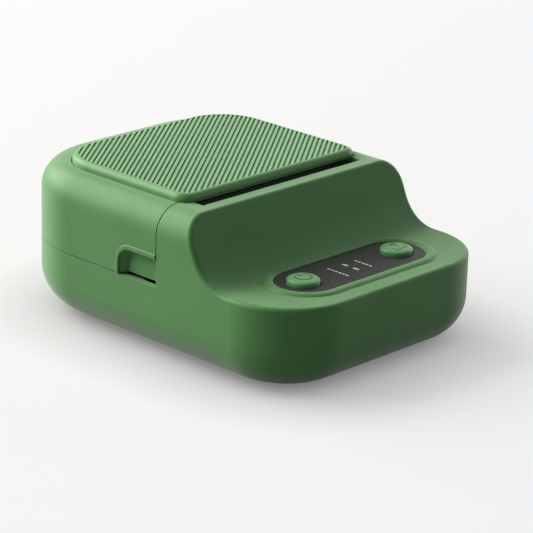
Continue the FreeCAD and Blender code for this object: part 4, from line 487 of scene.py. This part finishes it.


# Springs behind the print head

def add_springs(name, node):
    """Two coil springs in the place of the stiff ones."""
    low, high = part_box(node)
    middle_z = (low.z + high.z) / 2
    radius = (high.z - low.z) / 2 - SPRING_WIRE
    front, back = low.y + SPRING_WIRE, high.y - SPRING_WIRE
    bed = bmesh.new()
    for middle_x in (low.x + SPRING_WIRE + radius, high.x - SPRING_WIRE - radius):
        rings = []
        for step in range(SPRING_STEPS + 1):
            share = step / SPRING_STEPS
            turn = 2 * math.pi * SPRING_TURNS * share
            outward = Vector((math.cos(turn), 0, math.sin(turn)))
            spot = Vector((middle_x, front + (back - front) * share, middle_z)) + outward * radius
            ring = []
            for side in range(SPRING_SIDES):
                lean = 2 * math.pi * side / SPRING_SIDES
                offset = outward * math.cos(lean) + Vector((0, math.sin(lean), 0))
                ring.append(bed.verts.new(spot + offset * SPRING_WIRE))
            rings.append(ring)
        add_tube(bed, rings)
        bed.faces.new(rings[0])
        bed.faces.new(reversed(rings[-1]))
    piece = add_piece(name, bed, "steel", "base")
    piece.data.shade_smooth()
    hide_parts(node)
    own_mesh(piece)


add_springs("head_coils", "head_springs")


# Camera

def add_camera():
    """Camera that looks at its target from the photograph's side, slid to the photograph's framing."""
    back = Vector((math.sin(CAMERA_AZIMUTH) * math.cos(CAMERA_ELEVATION),
                   -math.cos(CAMERA_AZIMUTH) * math.cos(CAMERA_ELEVATION), math.sin(CAMERA_ELEVATION)))
    right = Vector((math.cos(CAMERA_AZIMUTH), math.sin(CAMERA_AZIMUTH), 0))
    up = back.cross(right)
    turn = Matrix((right, up, back)).transposed() @ Matrix.Rotation(CAMERA_ROLL, 3, "Z")
    lens = bpy.data.cameras.new("camera")
    lens.sensor_width = SENSOR_WIDTH
    lens.lens = FOCAL_PIXELS / IMAGE_WIDTH * SENSOR_WIDTH
    lens.clip_start = CLIP_START
    camera = bpy.data.objects.new("camera", lens)
    bpy.context.collection.objects.link(camera)
    place = CAMERA_TARGET + turn @ (CAMERA_SLIDE + Vector((0, 0, CAMERA_DISTANCE)))
    camera.matrix_world = Matrix.Translation(place) @ turn.to_4x4()
    bpy.context.scene.camera = camera


add_camera()


# Floor and light

def add_floor():
    """Plain pale floor that keeps the object's shadow from the lamps, with a painted contact shadow around
    the object.
    """
    mesh = bpy.data.meshes.new("floor")
    half = FLOOR_SIZE / 2
    corners = [(-half, -half, 0), (half, -half, 0), (half, half, 0), (-half, half, 0)]
    mesh.from_pydata(corners, [], [(0, 1, 2, 3)])
    floor = bpy.data.objects.new("floor", mesh)
    bpy.context.collection.objects.link(floor)
    tree = Tree("floor")
    grain = tree.noise(40 * MM, detail=2.0)
    grey = (FLOOR_GREY,) * 3
    tree.set(tree.surface, Roughness=0.9, Specular_IOR_Level=0.0,
             Base_Color=tree.blend(grain, shaded(grey, 0.985), shaded(grey, 1.0)))
    tree.glow(FLOOR_GLOW, FLOOR_REACH)
    mesh.materials.append(tree.material)


add_floor()


def add_world(strength):
    """A plain pale room to the camera and in reflections, and a weaker light on the surfaces."""
    world = bpy.data.worlds.new("studio")
    bpy.context.scene.world = world
    world.use_nodes = True
    nodes, links = world.node_tree.nodes, world.node_tree.links
    nodes.clear()
    lit = nodes.new("ShaderNodeBackground")
    lit.inputs["Color"].default_value = (1, 1, 1, 1)
    lit.inputs["Strength"].default_value = strength
    plain = nodes.new("ShaderNodeBackground")
    plain.inputs["Color"].default_value = (BACKGROUND, BACKGROUND, BACKGROUND, 1)
    plain.inputs["Strength"].default_value = 1.0
    mix = nodes.new("ShaderNodeMixShader")
    links.new(seen_rays(nodes, links), mix.inputs["Fac"])
    links.new(lit.outputs["Background"], mix.inputs[1])
    links.new(plain.outputs["Background"], mix.inputs[2])
    output = nodes.new("ShaderNodeOutputWorld")
    links.new(mix.outputs["Shader"], output.inputs["Surface"])


def add_lamp(name, place, size, power):
    """Soft rectangular lamp turned towards the object."""
    lamp = bpy.data.lights.new(name, "AREA")
    lamp.shape = "RECTANGLE"
    lamp.size, lamp.size_y = size
    lamp.energy = power
    lamp.color = LAMP_COLOUR
    holder = bpy.data.objects.new(name, lamp)
    bpy.context.collection.objects.link(holder)
    way = Vector(LAMP_AIM) - Vector(place)
    holder.matrix_world = Matrix.Translation(place) @ way.to_track_quat("-Z", "Y").to_matrix().to_4x4()


add_world(ROOM_LIGHT)
add_lamp("key", place=(-0.72, 1.87, 1.25), size=(2.6, 1.9), power=130.0)
add_lamp("fill", place=(1.9, -0.2, 0.35), size=(1.2, 1.2), power=12.0)

bpy.context.scene.view_settings.view_transform = "Standard"
